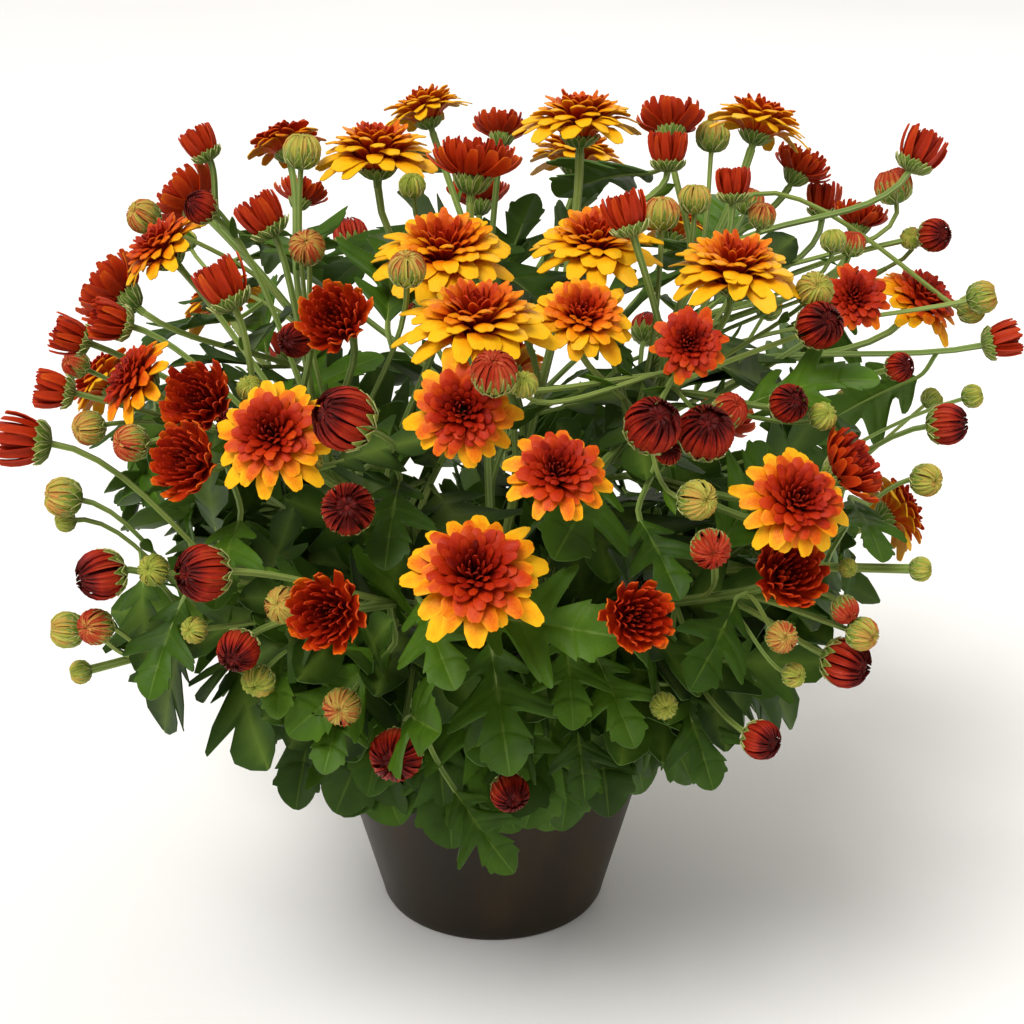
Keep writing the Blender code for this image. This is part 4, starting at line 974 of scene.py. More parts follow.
# Young and ripe are the tones of the foot, the top and the eye of the ribs, for the youngest and the ripest
# bud of each kind. A row of scales has its count, the polar angle of its tips and how far they stand off.
GLOBES = {
    "ball": Globe(
        34, 0.46, 0.20, (0.52, 0.58, 0.90), (0.56, 0.66, 0.98),
        ((12, 1.75, 0.04), (10, 2.05, 0.07))),
    "bud": Globe(
        20, 0.14, 0.06, (0.10, 0.20, 0.14), (0.20, 0.68, 0.52),
        ((12, 1.15, 0.02), (10, 1.50, 0.04), (8, 1.95, 0.06))),
    "pip": Globe(
        14, 0.12, 0.06, (0.02, 0.12, 0.04), (0.10, 0.20, 0.10),
        ((10, 0.80, 0.02), (9, 1.2, 0.04), (8, 1.7, 0.06))),
}
# A globe is drawn a little inside the width of its head, because its ribs and scales stand out
GLOBE_SHARE = 0.97
RIB_START = 2.6
EYE_START = 0.72
EYE_MOUTH = 0.05
RIB_THICKNESS = 0.0003
SCALE_START = 3.0
SCALE_THICKNESS = 0.0004
GLOBE_MIDDLE = 0.92
PIT_EDGE = {"ball": 0.36, "bud": 0.60, "pip": 0.60}
PIT_DEPTH = 0.42
CORE_RINGS = 5
CORE_SIDES = 8
CORE_SHARE = 0.86


# %% Fold florets into a bud
def globe_path(kind, start, end, swell=0.0, knots=13, flare=0.0):
    """A meridian of a bud from one polar angle to another, sinking into the eye at the end."""
    polar = np.linspace(start, end, knots)
    pit = np.clip((PIT_EDGE[kind] - polar) / PIT_EDGE[kind], 0, 1)
    size = 1 + swell - PIT_DEPTH * pit ** 1.5 + flare * np.linspace(0, 1, knots) ** 3
    return np.stack([np.sin(polar) * size, GLOBE_MIDDLE + np.cos(polar) * size], axis=1), np.sin(polar)


def bud_globe(kind, across):
    """The ribs and the eye of a bud about +Z, with the top of its stalk at the origin."""
    rule = GLOBES[kind]
    radius = across / 2 * GLOBE_SHARE
    age = dice.uniform(0, 1) ** 1.5
    foot, top, eye = (young + (ripe - young) * age for young, ripe in zip(rule.young, rule.ripe))
    batches = []
    layers = ((STRAP_PETAL, RIB_START, rule.mouth, rule.ribs, 0.0),
              (SPOON_PETAL, EYE_START, EYE_MOUTH, rule.ribs // 2 + 2, rule.sunk))
    for strip, start, end, ribs, sunk in layers:
        paths, spread = [], None
        for rib in range(ribs):
            swell = dice.uniform(-0.02, 0.025) + (0.025 if rib % 2 else 0) - sunk
            path, spread = globe_path(kind, start, end + dice.uniform(0, 0.16), swell)
            paths.append(path * radius)
        azimuth = np.arange(ribs) * math.tau / ribs + dice.normal(0, 0.05, ribs) + sunk
        wide = math.tau / ribs / 2 * radius * 1.25
        along = strip.along[None, :]
        tone = foot + (top - foot) * np.clip((along if sunk == 0 else 1) * 1.4 - 0.2, 0, 1)
        # The edges of each rib are painted darker: painted shade in the furrows between the ribs
        tone = tone + dice.normal(0, 0.05, ribs)[:, None] + 0.18 * strip.edge[None, :] ** 2 * (0.35 + top)
        dark = (eye - top) * (np.clip((along - 0.70) / 0.2, 0, 1) if sunk == 0 else 1)
        batches.append(fan_out(
            strip, azimuth, np.array(paths), np.full(ribs, wide), spread=spread, cup=-0.62,
            sway=dice.normal(0.06, 0.04, ribs) * radius, thick=RIB_THICKNESS,
            tone=np.clip(tone + dark, 0, 1)))
    # A core behind the ribs, so that nothing shows through the gaps between them
    polar = np.linspace(2.9, 0.7, CORE_RINGS)
    core = [(0, 0, (GLOBE_MIDDLE + math.cos(turn) * CORE_SHARE) * radius) for turn in polar]
    batches.append(tube(core, np.sin(polar) * CORE_SHARE * radius, CORE_SIDES, tone=eye))
    return batches


# %% Hold a bud in scales
def bud_scales(kind, across):
    """The rows of green scales that hold a bud."""
    radius = across / 2 * GLOBE_SHARE
    batches = []
    for row, (count, reach, flare) in enumerate(GLOBES[kind].scales):
        paths, spread = [], None
        for scale in range(count):
            end = reach + dice.normal(0, 0.06)
            path, spread = globe_path(kind, SCALE_START, end, 0.065 + 0.03 * row, flare=flare)
            paths.append(path * radius)
        azimuth = (np.arange(count) + row * 0.5) * math.tau / count + dice.normal(0, 0.05, count)
        wide = math.tau / count / 2 * radius * 1.12 / max(math.sin(max(reach, 1.2)), 0.6)
        tone = np.clip(0.15 + 0.5 * SCALE.along[None, :] + dice.normal(0, 0.08, count)[:, None], 0, 1)
        batches.append(fan_out(
            SCALE, azimuth, np.array(paths), np.full(count, wide), spread=np.maximum(spread, 0.25),
            cup=-0.25, thick=SCALE_THICKNESS, tone=tone))
    return batches


# %% [markdown]
# ## Cups
# Under every bloom the florets are gripped by a cup of narrow green scales in two rows, which taper into the
# stalk. Its section is turned on the head's axis, and the scales lie against it with their points free.

# %% Lay out a cup
# Height and radius, as shares of the bloom's radius, from the stalk up and in under the florets
CUP_SECTIONS = {
    "open": (
        (-0.32, 0.07), (-0.17, 0.08), (-0.13, 0.15), (-0.08, 0.22), (-0.02, 0.26), (0.03, 0.23), (0.05, 0.0)),
    "half": (
        (-0.54, 0.09), (-0.34, 0.10), (-0.28, 0.20), (-0.18, 0.30), (-0.04, 0.36), (0.06, 0.32), (0.10, 0.0)),
    "brush": (
        (0.08, 0.10), (0.14, 0.14), (0.20, 0.40), (0.34, 0.62), (0.48, 0.72), (0.58, 0.68), (0.64, 0.0)),
}
# For each row of scales: its count, how far its points run on free, and how far they flare
CUP_SCALES = {"open": (13, 0.07, 0.05), "half": (13, 0.13, 0.05), "brush": (12, 0.20, 0.07)}
CUP_SIDES = 12


def cup_and_scales(kind, across):
    """The green cup of a bloom about +Z, and the two rows of scales round it."""
    radius = across / 2
    section = np.array(CUP_SECTIONS[kind])
    path = [(0, 0, height * radius) for height, _ in section]
    batches = [tube(path, [max(wide, 0.01) * radius for _, wide in section], CUP_SIDES, tone=0.3)]
    count, free, flare = CUP_SCALES[kind]
    widest = section[:-1, 1].max()
    for row in range(2):
        heights = np.append(section[1:-2, 0], section[-3, 0] + free * (1 - 0.35 * row))
        widths = np.append(section[1:-2, 1], widest + flare) + 0.02 + 0.025 * row
        steps = np.linspace(0, len(heights) - 1, PATH_KNOTS)
        knots = np.stack([np.interp(steps, range(len(heights)), widths),
                          np.interp(steps, range(len(heights)), heights)], axis=1) * radius
        paths = np.array([knots] * count)
        paths[:, -3:, 0] *= (1 + dice.normal(0, 0.05, count))[:, None]
        azimuth = (np.arange(count) + row * 0.5) * math.tau / count + dice.normal(0, 0.06, count)
        spread = knots[:, 0] / knots[:, 0].max()
        wide = math.tau / count / 2 * knots[:, 0].max() * 1.1
        tone = np.clip(0.05 + 0.45 * SCALE.along[None, :] + dice.normal(0, 0.08, count)[:, None], 0, 1)
        batches.append(fan_out(
            SCALE, azimuth, paths, np.full(count, wide), spread=spread, cup=-0.2, thick=SCALE_THICKNESS,
            tone=tone))
    return batches


# %% [markdown]
# ## Colours and nodes
# Colours are written as they look on a screen, in sRGB hex, and one function turns them linear for the
# shader. One more function adds a node with its settings and links, so each finish below reads like a recipe.
# Two patterns of nodes come back in most finishes: reading the marks, and a ramp whose tone a noise shifts.

# %% Define the colour and node helpers
def linear(code):
    """The linear colour of an sRGB hex code."""
    parts = [int(code[place:place + 2], 16) / 255 for place in (1, 3, 5)]
    straight = [part / 12.92 if part <= 0.04045 else ((part + 0.055) / 1.055) ** 2.4 for part in parts]
    return (*straight, 1.0)


def add_node(tree, kind, settings=None, links=None, stops=None):
    """Adds a node. Settings are properties or input values, links outputs by input, stops a ramp's."""
    node = tree.nodes.new(kind)
    for key, value in (settings or {}).items():
        if isinstance(key, str) and hasattr(node, key):
            setattr(node, key, value)
        else:
            node.inputs[key].default_value = value
    for key, output in (links or {}).items():
        tree.links.new(output, node.inputs[key])
    if stops:
        ramp = node.color_ramp.elements
        while len(ramp) < len(stops):
            ramp.new(0.5)
        for element, (place, code) in zip(ramp, stops):
            element.position = place
            element.color = linear(code)
    return node


def new_finish(name, **sockets):
    """An empty finish: its node tree and its shader, with the constants set on the shader's own sockets."""
    finish = bpy.data.materials.new(name)
    finish.use_nodes = True
    tree = finish.node_tree
    shader = tree.nodes["Principled BSDF"]
    for socket, value in sockets.items():
        shader.inputs[socket.replace("_", " ")].default_value = value
    return finish, tree, shader


# %% Define the patterns of nodes
def read_marks(tree):
    """The nodes that read the marks of a piece, their single channels, and the place on the piece."""
    mark = add_node(tree, "ShaderNodeAttribute", {"attribute_name": "mark"})
    parts = add_node(tree, "ShaderNodeSeparateColor", links={0: mark.outputs["Color"]})
    return mark, parts, add_node(tree, "ShaderNodeTexCoord")


def shifted_ramp(tree, tone, noise, amount, stops):
    """A ramp over a tone that a noise shifts both ways, by an amount in all."""
    shift = add_node(tree, "ShaderNodeMath", {"operation": "MULTIPLY_ADD", 1: amount, 2: -amount / 2},
                     {0: noise})
    shifted = add_node(tree, "ShaderNodeMath", {"operation": "ADD", "use_clamp": True},
                       {0: tone, 1: shift.outputs[0]})
    return add_node(tree, "ShaderNodeValToRGB", links={0: shifted.outputs[0]}, stops=stops)


MILLIMETRE = 0.001

# %% [markdown]
# ## The finish of the florets
# A ray floret is a thin, velvety strip of cells full of colour. Its cells lie in lengthwise rows, which show as
# faint streaks and break up the gloss. The tone mark runs from golden yellow through orange to a deep wine
# red, so one ramp colours every floret. The reverse has less red in it and looks like straw.

# %% Make the floret finishes
def floret_finish(name, stops, straw, straw_share):
    """Velvety petal tissue: a ramp over the tone mark, streaks along the strip, and a paler reverse."""
    finish, tree, shader = new_finish(name, Roughness=0.5, Specular_IOR_Level=0.15)
    mark, parts, place = read_marks(tree)
    # Blotches are about 3 mm across
    blotch = add_node(tree, "ShaderNodeTexNoise", {"Scale": 1 / (3 * MILLIMETRE), "Detail": 2.0},
                      {"Vector": place.outputs["Object"]})
    # Seven streaks across a floret
    across = add_node(tree, "ShaderNodeMath", {"operation": "MULTIPLY", 1: 14.0}, {0: parts.outputs["Blue"]})
    along = add_node(tree, "ShaderNodeMath", {"operation": "MULTIPLY", 1: 1.4}, {0: parts.outputs["Green"]})
    other = add_node(tree, "ShaderNodeMath", {"operation": "MULTIPLY", 1: 40.0}, {0: parts.outputs["Red"]})
    lines = add_node(tree, "ShaderNodeCombineXYZ",
                     links={0: across.outputs[0], 1: along.outputs[0], 2: other.outputs[0]})
    streak = add_node(tree, "ShaderNodeTexNoise", {"Scale": 1.0, "Detail": 1.0}, {"Vector": lines.outputs[0]})
    shift = add_node(tree, "ShaderNodeMath", {"operation": "MULTIPLY_ADD", 1: 0.22, 2: -0.11},
                     {0: blotch.outputs[0]})
    finer = add_node(tree, "ShaderNodeMath", {"operation": "MULTIPLY_ADD", 1: 0.26, 2: -0.13},
                     {0: streak.outputs[0]})
    both = add_node(tree, "ShaderNodeMath", {"operation": "ADD"}, {0: shift.outputs[0], 1: finer.outputs[0]})
    tone = add_node(tree, "ShaderNodeMath", {"operation": "ADD", "use_clamp": True},
                    {0: parts.outputs["Red"], 1: both.outputs[0]})
    ramp = add_node(tree, "ShaderNodeValToRGB", links={0: tone.outputs[0]}, stops=stops)
    back = add_node(tree, "ShaderNodeMath", {"operation": "MULTIPLY", 1: straw_share},
                    {0: mark.outputs["Alpha"]})
    face = add_node(tree, "ShaderNodeMix", {"data_type": "RGBA", 7: linear(straw)},
                    {0: back.outputs[0], 6: ramp.outputs[0]})
    grain = add_node(tree, "ShaderNodeBump", {"Strength": 0.35, "Distance": 0.3 * MILLIMETRE},
                     {"Height": streak.outputs[0]})
    tree.links.new(face.outputs[2], shader.inputs["Base Color"])
    tree.links.new(grain.outputs[0], shader.inputs["Normal"])
    return finish


# %% Colour the florets
BLOOM_STOPS = ((0.0, "#f2b814"), (0.18, "#ec9c0a"), (0.34, "#e27606"), (0.50, "#cc4c05"), (0.66, "#b83005"),
               (0.84, "#9c1a04"), (1.0, "#620a04"))
BUD_STOPS = ((0.0, "#7c9030"), (0.18, "#a8ac48"), (0.32, "#c0a04c"), (0.46, "#b44a28"), (0.66, "#a82a12"),
             (0.84, "#84160c"), (1.0, "#380605"))
bloom_tissue = floret_finish("ray_floret_tissue", BLOOM_STOPS, "#a8300c", 0.35)
bud_tissue = floret_finish("folded_floret_tissue", BUD_STOPS, "#8c2814", 0.05)
print("floret finishes:", bloom_tissue.name, bud_tissue.name)

# %% [markdown]
# ## The finish of scales, stems and leaves
# The green parts share a waxy skin with fine hairs, which makes them a little dull and pale. Scales are
# yellow-green with pale, papery thin edges. Stems are ribbed, and a light line runs along each rib. Leaf
# blades are dark and leathery, with paler sunken veins and a grey-green felted reverse.

# %% Make the skin of the scales
scale_skin, tree, shader = new_finish("involucre_scale_skin", Roughness=0.5, Specular_IOR_Level=0.2)
mark, parts, place = read_marks(tree)
speckle = add_node(tree, "ShaderNodeTexNoise", {"Scale": 1 / (1.5 * MILLIMETRE), "Detail": 2.0},
                   {"Vector": place.outputs["Object"]})
ramp = shifted_ramp(tree, parts.outputs["Red"], speckle.outputs[0], 0.5,
                    ((0.0, "#38561a"), (0.4, "#5f7c28"), (0.75, "#8ea03c"), (1.0, "#b8b458")))
rim = add_node(tree, "ShaderNodeMath", {"operation": "PINGPONG", 1: 0.5}, {0: parts.outputs["Blue"]})
rim_ramp = add_node(tree, "ShaderNodeValToRGB", links={0: rim.outputs[0]},
                    stops=((0.0, "#d0d0d0"), (0.16, "#000000")))
edged = add_node(tree, "ShaderNodeMix", {"data_type": "RGBA", 7: linear("#c9c486")},
                 {0: rim_ramp.outputs[0], 6: ramp.outputs[0]})
down = add_node(tree, "ShaderNodeBump", {"Strength": 0.4, "Distance": 0.2 * MILLIMETRE},
                {"Height": speckle.outputs[0]})
tree.links.new(edged.outputs[2], shader.inputs["Base Color"])
tree.links.new(down.outputs[0], shader.inputs["Normal"])

# %% Make the skin of the stems
stem_skin, tree, shader = new_finish("ribbed_stem_skin", Roughness=0.55, Specular_IOR_Level=0.22)
mark, parts, place = read_marks(tree)
blush = add_node(tree, "ShaderNodeTexNoise", {"Scale": 1 / (14 * MILLIMETRE), "Detail": 3.0},
                 {"Vector": place.outputs["Object"]})
ramp = shifted_ramp(tree, parts.outputs["Red"], blush.outputs[0], 0.6,
                    ((0.0, "#3c5018"), (0.45, "#5f7a2c"), (0.8, "#82943e"), (1.0, "#94764a")))
light = add_node(tree, "ShaderNodeMath", {"operation": "MULTIPLY", 1: 0.35}, {0: parts.outputs["Blue"]})
ribbed = add_node(tree, "ShaderNodeMix", {"data_type": "RGBA", 7: linear("#b4c078")},
                  {0: light.outputs[0], 6: ramp.outputs[0]})
hairs = add_node(tree, "ShaderNodeTexNoise", {"Scale": 1 / (0.8 * MILLIMETRE), "Detail": 2.0},
                 {"Vector": place.outputs["Object"]})
down = add_node(tree, "ShaderNodeBump", {"Strength": 0.3, "Distance": 0.2 * MILLIMETRE},
                {"Height": hairs.outputs[0]})
tree.links.new(ribbed.outputs[2], shader.inputs["Base Color"])
tree.links.new(down.outputs[0], shader.inputs["Normal"])

# %% Make the skin of the leaves
leaf_skin, tree, shader = new_finish("leathery_leaf_skin", Roughness=0.5, Specular_IOR_Level=0.16)
mark, parts, place = read_marks(tree)
patch = add_node(tree, "ShaderNodeTexNoise", {"Scale": 1 / (12 * MILLIMETRE), "Detail": 4.0},
                 {"Vector": place.outputs["Object"]})
ramp = shifted_ramp(tree, parts.outputs["Red"], patch.outputs[0], 0.6,
                    ((0.0, "#1d3206"), (0.35, "#2c4708"), (0.65, "#3e5f0c"), (1.0, "#567a16")))
vein = add_node(tree, "ShaderNodeMath", {"operation": "POWER", 1: 2.2}, {0: parts.outputs["Blue"]})
vein_share = add_node(tree, "ShaderNodeMath", {"operation": "MULTIPLY", 1: 0.34}, {0: vein.outputs[0]})
veined = add_node(tree, "ShaderNodeMix", {"data_type": "RGBA", 7: linear("#7c9638")},
                  {0: vein_share.outputs[0], 6: ramp.outputs[0]})
back = add_node(tree, "ShaderNodeMath", {"operation": "MULTIPLY", 1: 0.6}, {0: mark.outputs["Alpha"]})
felted = add_node(tree, "ShaderNodeMix", {"data_type": "RGBA", 7: linear("#4e6a26")},
                  {0: back.outputs[0], 6: veined.outputs[2]})
# The mesh of tiny veins makes cells about 1.6 mm across
cells = add_node(tree, "ShaderNodeTexVoronoi",
                 {"Scale": 1 / (1.6 * MILLIMETRE), "feature": "DISTANCE_TO_EDGE"},
                 {"Vector": place.outputs["Object"]})
puckers = add_node(tree, "ShaderNodeBump", {"Strength": 0.35, "Distance": 0.25 * MILLIMETRE},
                   {"Height": cells.outputs[0]})
swells = add_node(tree, "ShaderNodeBump", {"Strength": 0.4, "Distance": 1.2 * MILLIMETRE},
                  {"Height": patch.outputs[0], "Normal": puckers.outputs[0]})
tree.links.new(felted.outputs[2], shader.inputs["Base Color"])
tree.links.new(swells.outputs[0], shader.inputs["Normal"])
print("green finishes:", scale_skin.name, stem_skin.name, leaf_skin.name)

# %% [markdown]
# ## Dress the heads
# Every head in the solids now gets its florets. A wide bloom stands for its own solid. The narrow half-open
# heads and all the buds belong to the solid of their stem, so they are gathered there, stem by stem.

# %% Name the blooms that are nodes of their own
bloom_names = {}
for place in places:
    if stands_alone(place):
        bloom_names[tuple(place.middle)] = f"bloom_{len(bloom_names) + 1:02d}"

# %% Tell how ripe a bloom is
# The open blooms on the crown of the bush get the most light and are the ripest
RIPE_HEIGHTS = (0.270, 0.292)
RIPE_DISTANCES = (0.090, 0.125)
# Blooms that face the sky open flat, and a little wider than their solids
FLAT_FACINGS = (0.78, 0.95)
FLAT_GROWTH = 1.16
YOUNG_ACROSS = 0.034


def ripeness(place):
    """How ripe a bloom is, from 0 to 1."""
    if place.kind != "open" or place.across < YOUNG_ACROSS:
        return 0.0
    high = float(np.interp(place.middle.z, RIPE_HEIGHTS, (0.0, 1.0)))
    return high * float(np.interp(abs(place.middle.x), RIPE_DISTANCES, (1.0, 0.2)))


# %% Make the blooms, the buds and their cups
heads_made = 0
for owner, _, _, seated in sprays:
    petals, greens, ribs = [], [], []
    for place, _ in seated:
        seat = seat_of(place)
        turn = dice.uniform(0, math.tau)
        if place.kind in GLOBES:
            ribs += [moved(batch, seat, place.face, turn) for batch in bud_globe(place.kind, place.across)]
            greens += [moved(batch, seat, place.face, turn) for batch in bud_scales(place.kind, place.across)]
            continue
        across = place.across
        if place.kind == "open":
            across *= float(np.interp(place.face.z, FLAT_FACINGS, (1.0, FLAT_GROWTH)))
        florets = [moved(batch, seat, place.face, turn)
                   for batch in bloom_florets(place.kind, across, ripeness(place))]
        greens += [moved(batch, seat, place.face, turn) for batch in cup_and_scales(place.kind, place.across)]
        if stands_alone(place):
            name = bloom_names[tuple(place.middle)]
            make_piece(name + "_florets", florets, bloom_tissue, name)
            heads_made += 1
        else:
            petals += florets
    if petals:
        make_piece(owner + "_small_blooms", petals, bloom_tissue, owner)
    if ribs:
        make_piece(owner + "_buds", ribs, bud_tissue, owner)
    make_piece(owner + "_scales", greens, scale_skin, owner)
print(heads_made, "blooms of their own")

# %% [markdown]
# ## Stems and stalks
# A chrysanthemum's stem is ribbed along its length and swells a little where it meets a head. Each one is a
# tube along the smooth bend that belongs to the coarse line of the solid. A stem has twelve sides, so that six
# ribs show, and the thinner stalks have eight.

# %% Make the stems
# The ribs stand out, so a stalk is drawn a little thinner than its solid
STALK_SHARE = 0.86
FLARE = 0.15
FLARE_POWER = 12
RIDGE = 0.16

for owner, foot, lines, _ in sprays:
    tubes = []
    for number, line in enumerate(lines):
        steps, sides = (26, 12) if number == 0 else (12, 8)
        path = [bezier(*line.bend, step / steps) for step in range(steps + 1)]
        low, high = line.radii
        radii = (low + (high - low) * np.linspace(0, 1, steps + 1)) * STALK_SHARE
        radii = radii * (1 + FLARE * np.linspace(0, 1, steps + 1) ** FLARE_POWER)
        if number == 0:
            path = [foot] + path
            radii = np.append(low, radii)
        tubes.append(tube(path, radii, sides, tone=dice.uniform(0.3, 0.75), ridge=RIDGE))
    make_piece(owner + "_stalks", tubes, stem_skin, owner)

# %% [markdown]
# ## Leaf blades
# The leaf is lobed like a small oak leaf, with a wedge at its foot, two pairs of lobes that lean forward, and
# blunt teeth. Its side veins lean forward too. So the rows of the grid are resized to the lobes and then
# swept forward, which puts each side vein along a row and each tooth on the end of one.

# %% Model the blades
Blade = namedtuple("Blade", "aside along side vein bulge faces")
# Columns from the midrib to the edge, and rows as how far along and how wide
BLADE_COLUMNS = (0.0, 0.10, 0.55, 1.0)
FINE_PROFILE = (
    (0.0, 0.02), (0.015, 0.06), (0.03, 0.14), (0.05, 0.20), (0.075, 0.235), (0.10, 0.24), (0.13, 0.225),
    (0.15, 0.17), (0.165, 0.11), (0.19, 0.085), (0.215, 0.09), (0.235, 0.13), (0.255, 0.21), (0.275, 0.29),
    (0.30, 0.345), (0.32, 0.365), (0.335, 0.35), (0.36, 0.375), (0.39, 0.39), (0.42, 0.38), (0.445, 0.33),
    (0.465, 0.25), (0.48, 0.17), (0.495, 0.12), (0.51, 0.11), (0.56, 0.135), (0.61, 0.16), (0.66, 0.185),
    (0.69, 0.20), (0.70, 0.17), (0.75, 0.175), (0.79, 0.19), (0.83, 0.185), (0.845, 0.15), (0.89, 0.135),
    (0.93, 0.11), (0.965, 0.08), (0.985, 0.05), (1.0, 0.02))
PLAIN_COLUMNS = (0.0, 1.0)
PLAIN_PROFILE = (
    (0.0, 0.02), (0.04, 0.16), (0.10, 0.24), (0.15, 0.17), (0.19, 0.085), (0.27, 0.27), (0.35, 0.375),
    (0.43, 0.36), (0.50, 0.11), (0.66, 0.185), (0.80, 0.18), (0.93, 0.11), (1.0, 0.02))
# The rows along which the side veins run
VEIN_ROWS = (0.10, 0.36, 0.69)
SWEEP = 0.80


# %% Shape a blade
def pick_numbers(numbers):
    """Selects in edit mode the vertices with some numbers, and nothing else. Gives the first one's place."""
    bpy.ops.mesh.select_all(action="DESELECT")
    body = bmesh.from_edit_mesh(bpy.context.edit_object.data)
    body.verts.ensure_lookup_table()
    for number in numbers:
        body.verts[number].select = True
    place = body.verts[numbers[0]].co.copy()
    body.select_flush_mode()
    return place


def model_blade(name, columns, profile):
    """A flat closed blade, a unit long, with the marks of its veins."""
    half = len(columns) - 1
    across, rows = 2 * half + 1, len(profile)
    bpy.ops.mesh.primitive_grid_add(x_subdivisions=2 * half, y_subdivisions=rows - 1, size=2)
    item = bpy.context.object
    item.name = name
    bpy.ops.object.mode_set(mode="EDIT")
    for column in range(across):
        here = pick_numbers(range(column, across * rows, across))
        want = math.copysign(columns[abs(column - half)], column - half)
        bpy.ops.transform.translate(value=(want - here.x, 0, 0))
    for row, (share, width) in enumerate(profile):
        here = pick_numbers(range(row * across, (row + 1) * across))
        bpy.ops.transform.resize(value=(width, 1, 1))
        bpy.ops.transform.translate(value=(0, share - here.y, 0))
    bpy.ops.object.mode_set(mode="OBJECT")
    for vertex in item.data.vertices:
        row = vertex.index // across
        vertex.co.y += abs(vertex.co.x) * SWEEP * (1 - profile[row][0] ** 2)
    points, faces = walled(item)
    shells = len(points) // (across * rows)
    column = np.tile(np.tile(np.arange(across), rows), shells)
    row = np.tile(np.repeat(np.arange(rows), across), shells)
    edge = np.array(columns)[np.abs(column - half)]
    share = np.array(profile)[row, 0]
    rib = (edge == 0).astype(float)
    side_vein = np.isin(share, VEIN_ROWS) * 0.7 * (1 - 0.6 * edge) if len(columns) > 2 else 0 * share
    bulge = np.where((edge > 0.3) & (edge < 0.9), 1.0, 0.0) * (1 - side_vein)
    return Blade(points[:, 0], points[:, 1], np.sign(points[:, 2]), np.maximum(rib, side_vein), bulge, faces)


# %% Model the two blades
FINE_BLADE = model_blade("fine_blade", BLADE_COLUMNS, FINE_PROFILE)
PLAIN_BLADE = model_blade("plain_blade", PLAIN_COLUMNS, PLAIN_PROFILE)

# %% [markdown]
# ## Leaves
# A blade arches along its length, folds up a little from its midrib and waves at its edge. Its stalk runs on
# under it as the midrib's keel. The leaves of the solids get the fine blade. Around them grow the many leaves
# that a solid model leaves out: some hang over the rim of the pot, and plain ones fill the bush from inside.
# All of these keep clear of every head.

# %% Bend a blade and give it a stalk
LEAF_THICKNESS = 0.0005
LEAF_STALK_RADIUS = 0.0010
KEEL_RADII = (0.0009, 0.0003)
KEEL_DEPTH = 0.0006
KEEL_SPAN = (0.12, 0.7)
BULGE = 0.020
EDGE_WAVES = 13


def leaf_batches(leaf, blade_shape, tone, wave, bends=5):
    """A leaf's blade and its stalk."""
    size, along, side, normal = (np.array(part) for part in leaf_axes(leaf))
    root = np.array(leaf.root)
    share, aside = blade_shape.along, blade_shape.aside
    lift = leaf.arch * 4 * share * (1 - share) + np.abs(aside) * leaf.fold
    fade = np.minimum(share * 4, 1) * np.minimum(4 - share * 4, 1)
    lift += BULGE * (blade_shape.bulge - 0.5 * blade_shape.vein) * fade
    high, start, twist = wave
    lift += high * np.abs(aside) * np.sin(share * EDGE_WAVES + start + np.sign(aside)) + twist * aside * share
    points = root + (share * size)[:, None] * along + (aside * size)[:, None] * side
    points = points + (lift * size + blade_shape.side * LEAF_THICKNESS / 2)[:, None] * normal
    marks = np.stack([np.full(len(share), tone), share, blade_shape.vein, blade_shape.side < 0], axis=1)
    base = Vector(leaf.base)
    reach = (leaf.root - base).length
    ahead = (leaf.root - base).normalized()
    leave, arrive = base + ahead * (reach * 0.4), leaf.root - Vector(along) * (reach * 0.35)
    stalk = [bezier(base, leave, arrive, leaf.root, step / bends) for step in range(bends + 1)]
    keel = [Vector(root + along * size * at + normal * (leaf.arch * 4 * at * (1 - at) * size - KEEL_DEPTH))
            for at in np.linspace(*KEEL_SPAN, bends - 1)]
    radii = [LEAF_STALK_RADIUS] * (bends + 1) + list(np.linspace(*KEEL_RADII, bends - 1))
    return [Batch(points, blade_shape.faces, marks)], tube(stalk + keel, radii, 4, tone=0.45)


# %% Keep leaves clear of the heads
head_middles = np.array([place.middle for place in places])
head_widths = np.array([place.across for place in places])
# A leaf hides a head if it covers this share of its width, seen from the front
HIDING_SHARE = 0.45
CLEARANCE = 0.0035
TIP_SWINGS = (0, 10, -10, 20, -20, 30, -30, 40, -40)
# How far along and aside the tip of a side lobe stands
LOBE_TIP = (0.66, 0.38)


def clear_of_heads(points, spare=CLEARANCE):
    """Whether points keep off every head, and do not hide one from the front."""
    gaps = np.linalg.norm(points[:, None, :] - head_middles[None], axis=2) - head_widths[None] / 2
    reach = np.linalg.norm(points - EYE, axis=1)[:, None]
    sight = (points - EYE) / reach
    beyond = (head_middles - EYE) @ sight.T
    miss = np.linalg.norm(head_middles[:, None, :] - EYE - beyond[:, :, None] * sight[None], axis=2)
    hides = (beyond.T > reach) & (miss.T < head_widths[None] * HIDING_SHARE)
    return gaps.min() > spare and not hides.any()


def outline_points(leaf):
    """Points of a leaf's midrib and edge, and the tips of its side lobes."""
    size, along, side, _ = leaf_axes(leaf)
    far, wide = LOBE_TIP
    lobes = [leaf.root + along * (far * size) + side * (sign * wide * size) for sign in (-1, 1)]
    return np.array([leaf.root, leaf.root.lerp(leaf.tip, 0.5), leaf.tip] + lobes + leaf_outline(leaf))


def swung_clear(leaf):
    """A leaf of the solids, its tip swung aside if it would hide a head from the front."""
    for swing in TIP_SWINGS:
        tip = leaf.root + Matrix.Rotation(math.radians(swing), 3, TOWARD) @ (leaf.tip - leaf.root)
        turned = leaf._replace(tip=tip)
        if clear_of_heads(outline_points(turned), 0.0):
            return turned
    return leaf


# %% Dress the leaves of the solids
# How high the waves of an edge are, where they start, and how far a blade twists
WAVE_HEIGHTS = (0.05, 0.16)
WAVE_STARTS = (0, 6)
TWIST = 0.08
by_owner = {owner: ([], []) for owner, _, _, _ in sprays}


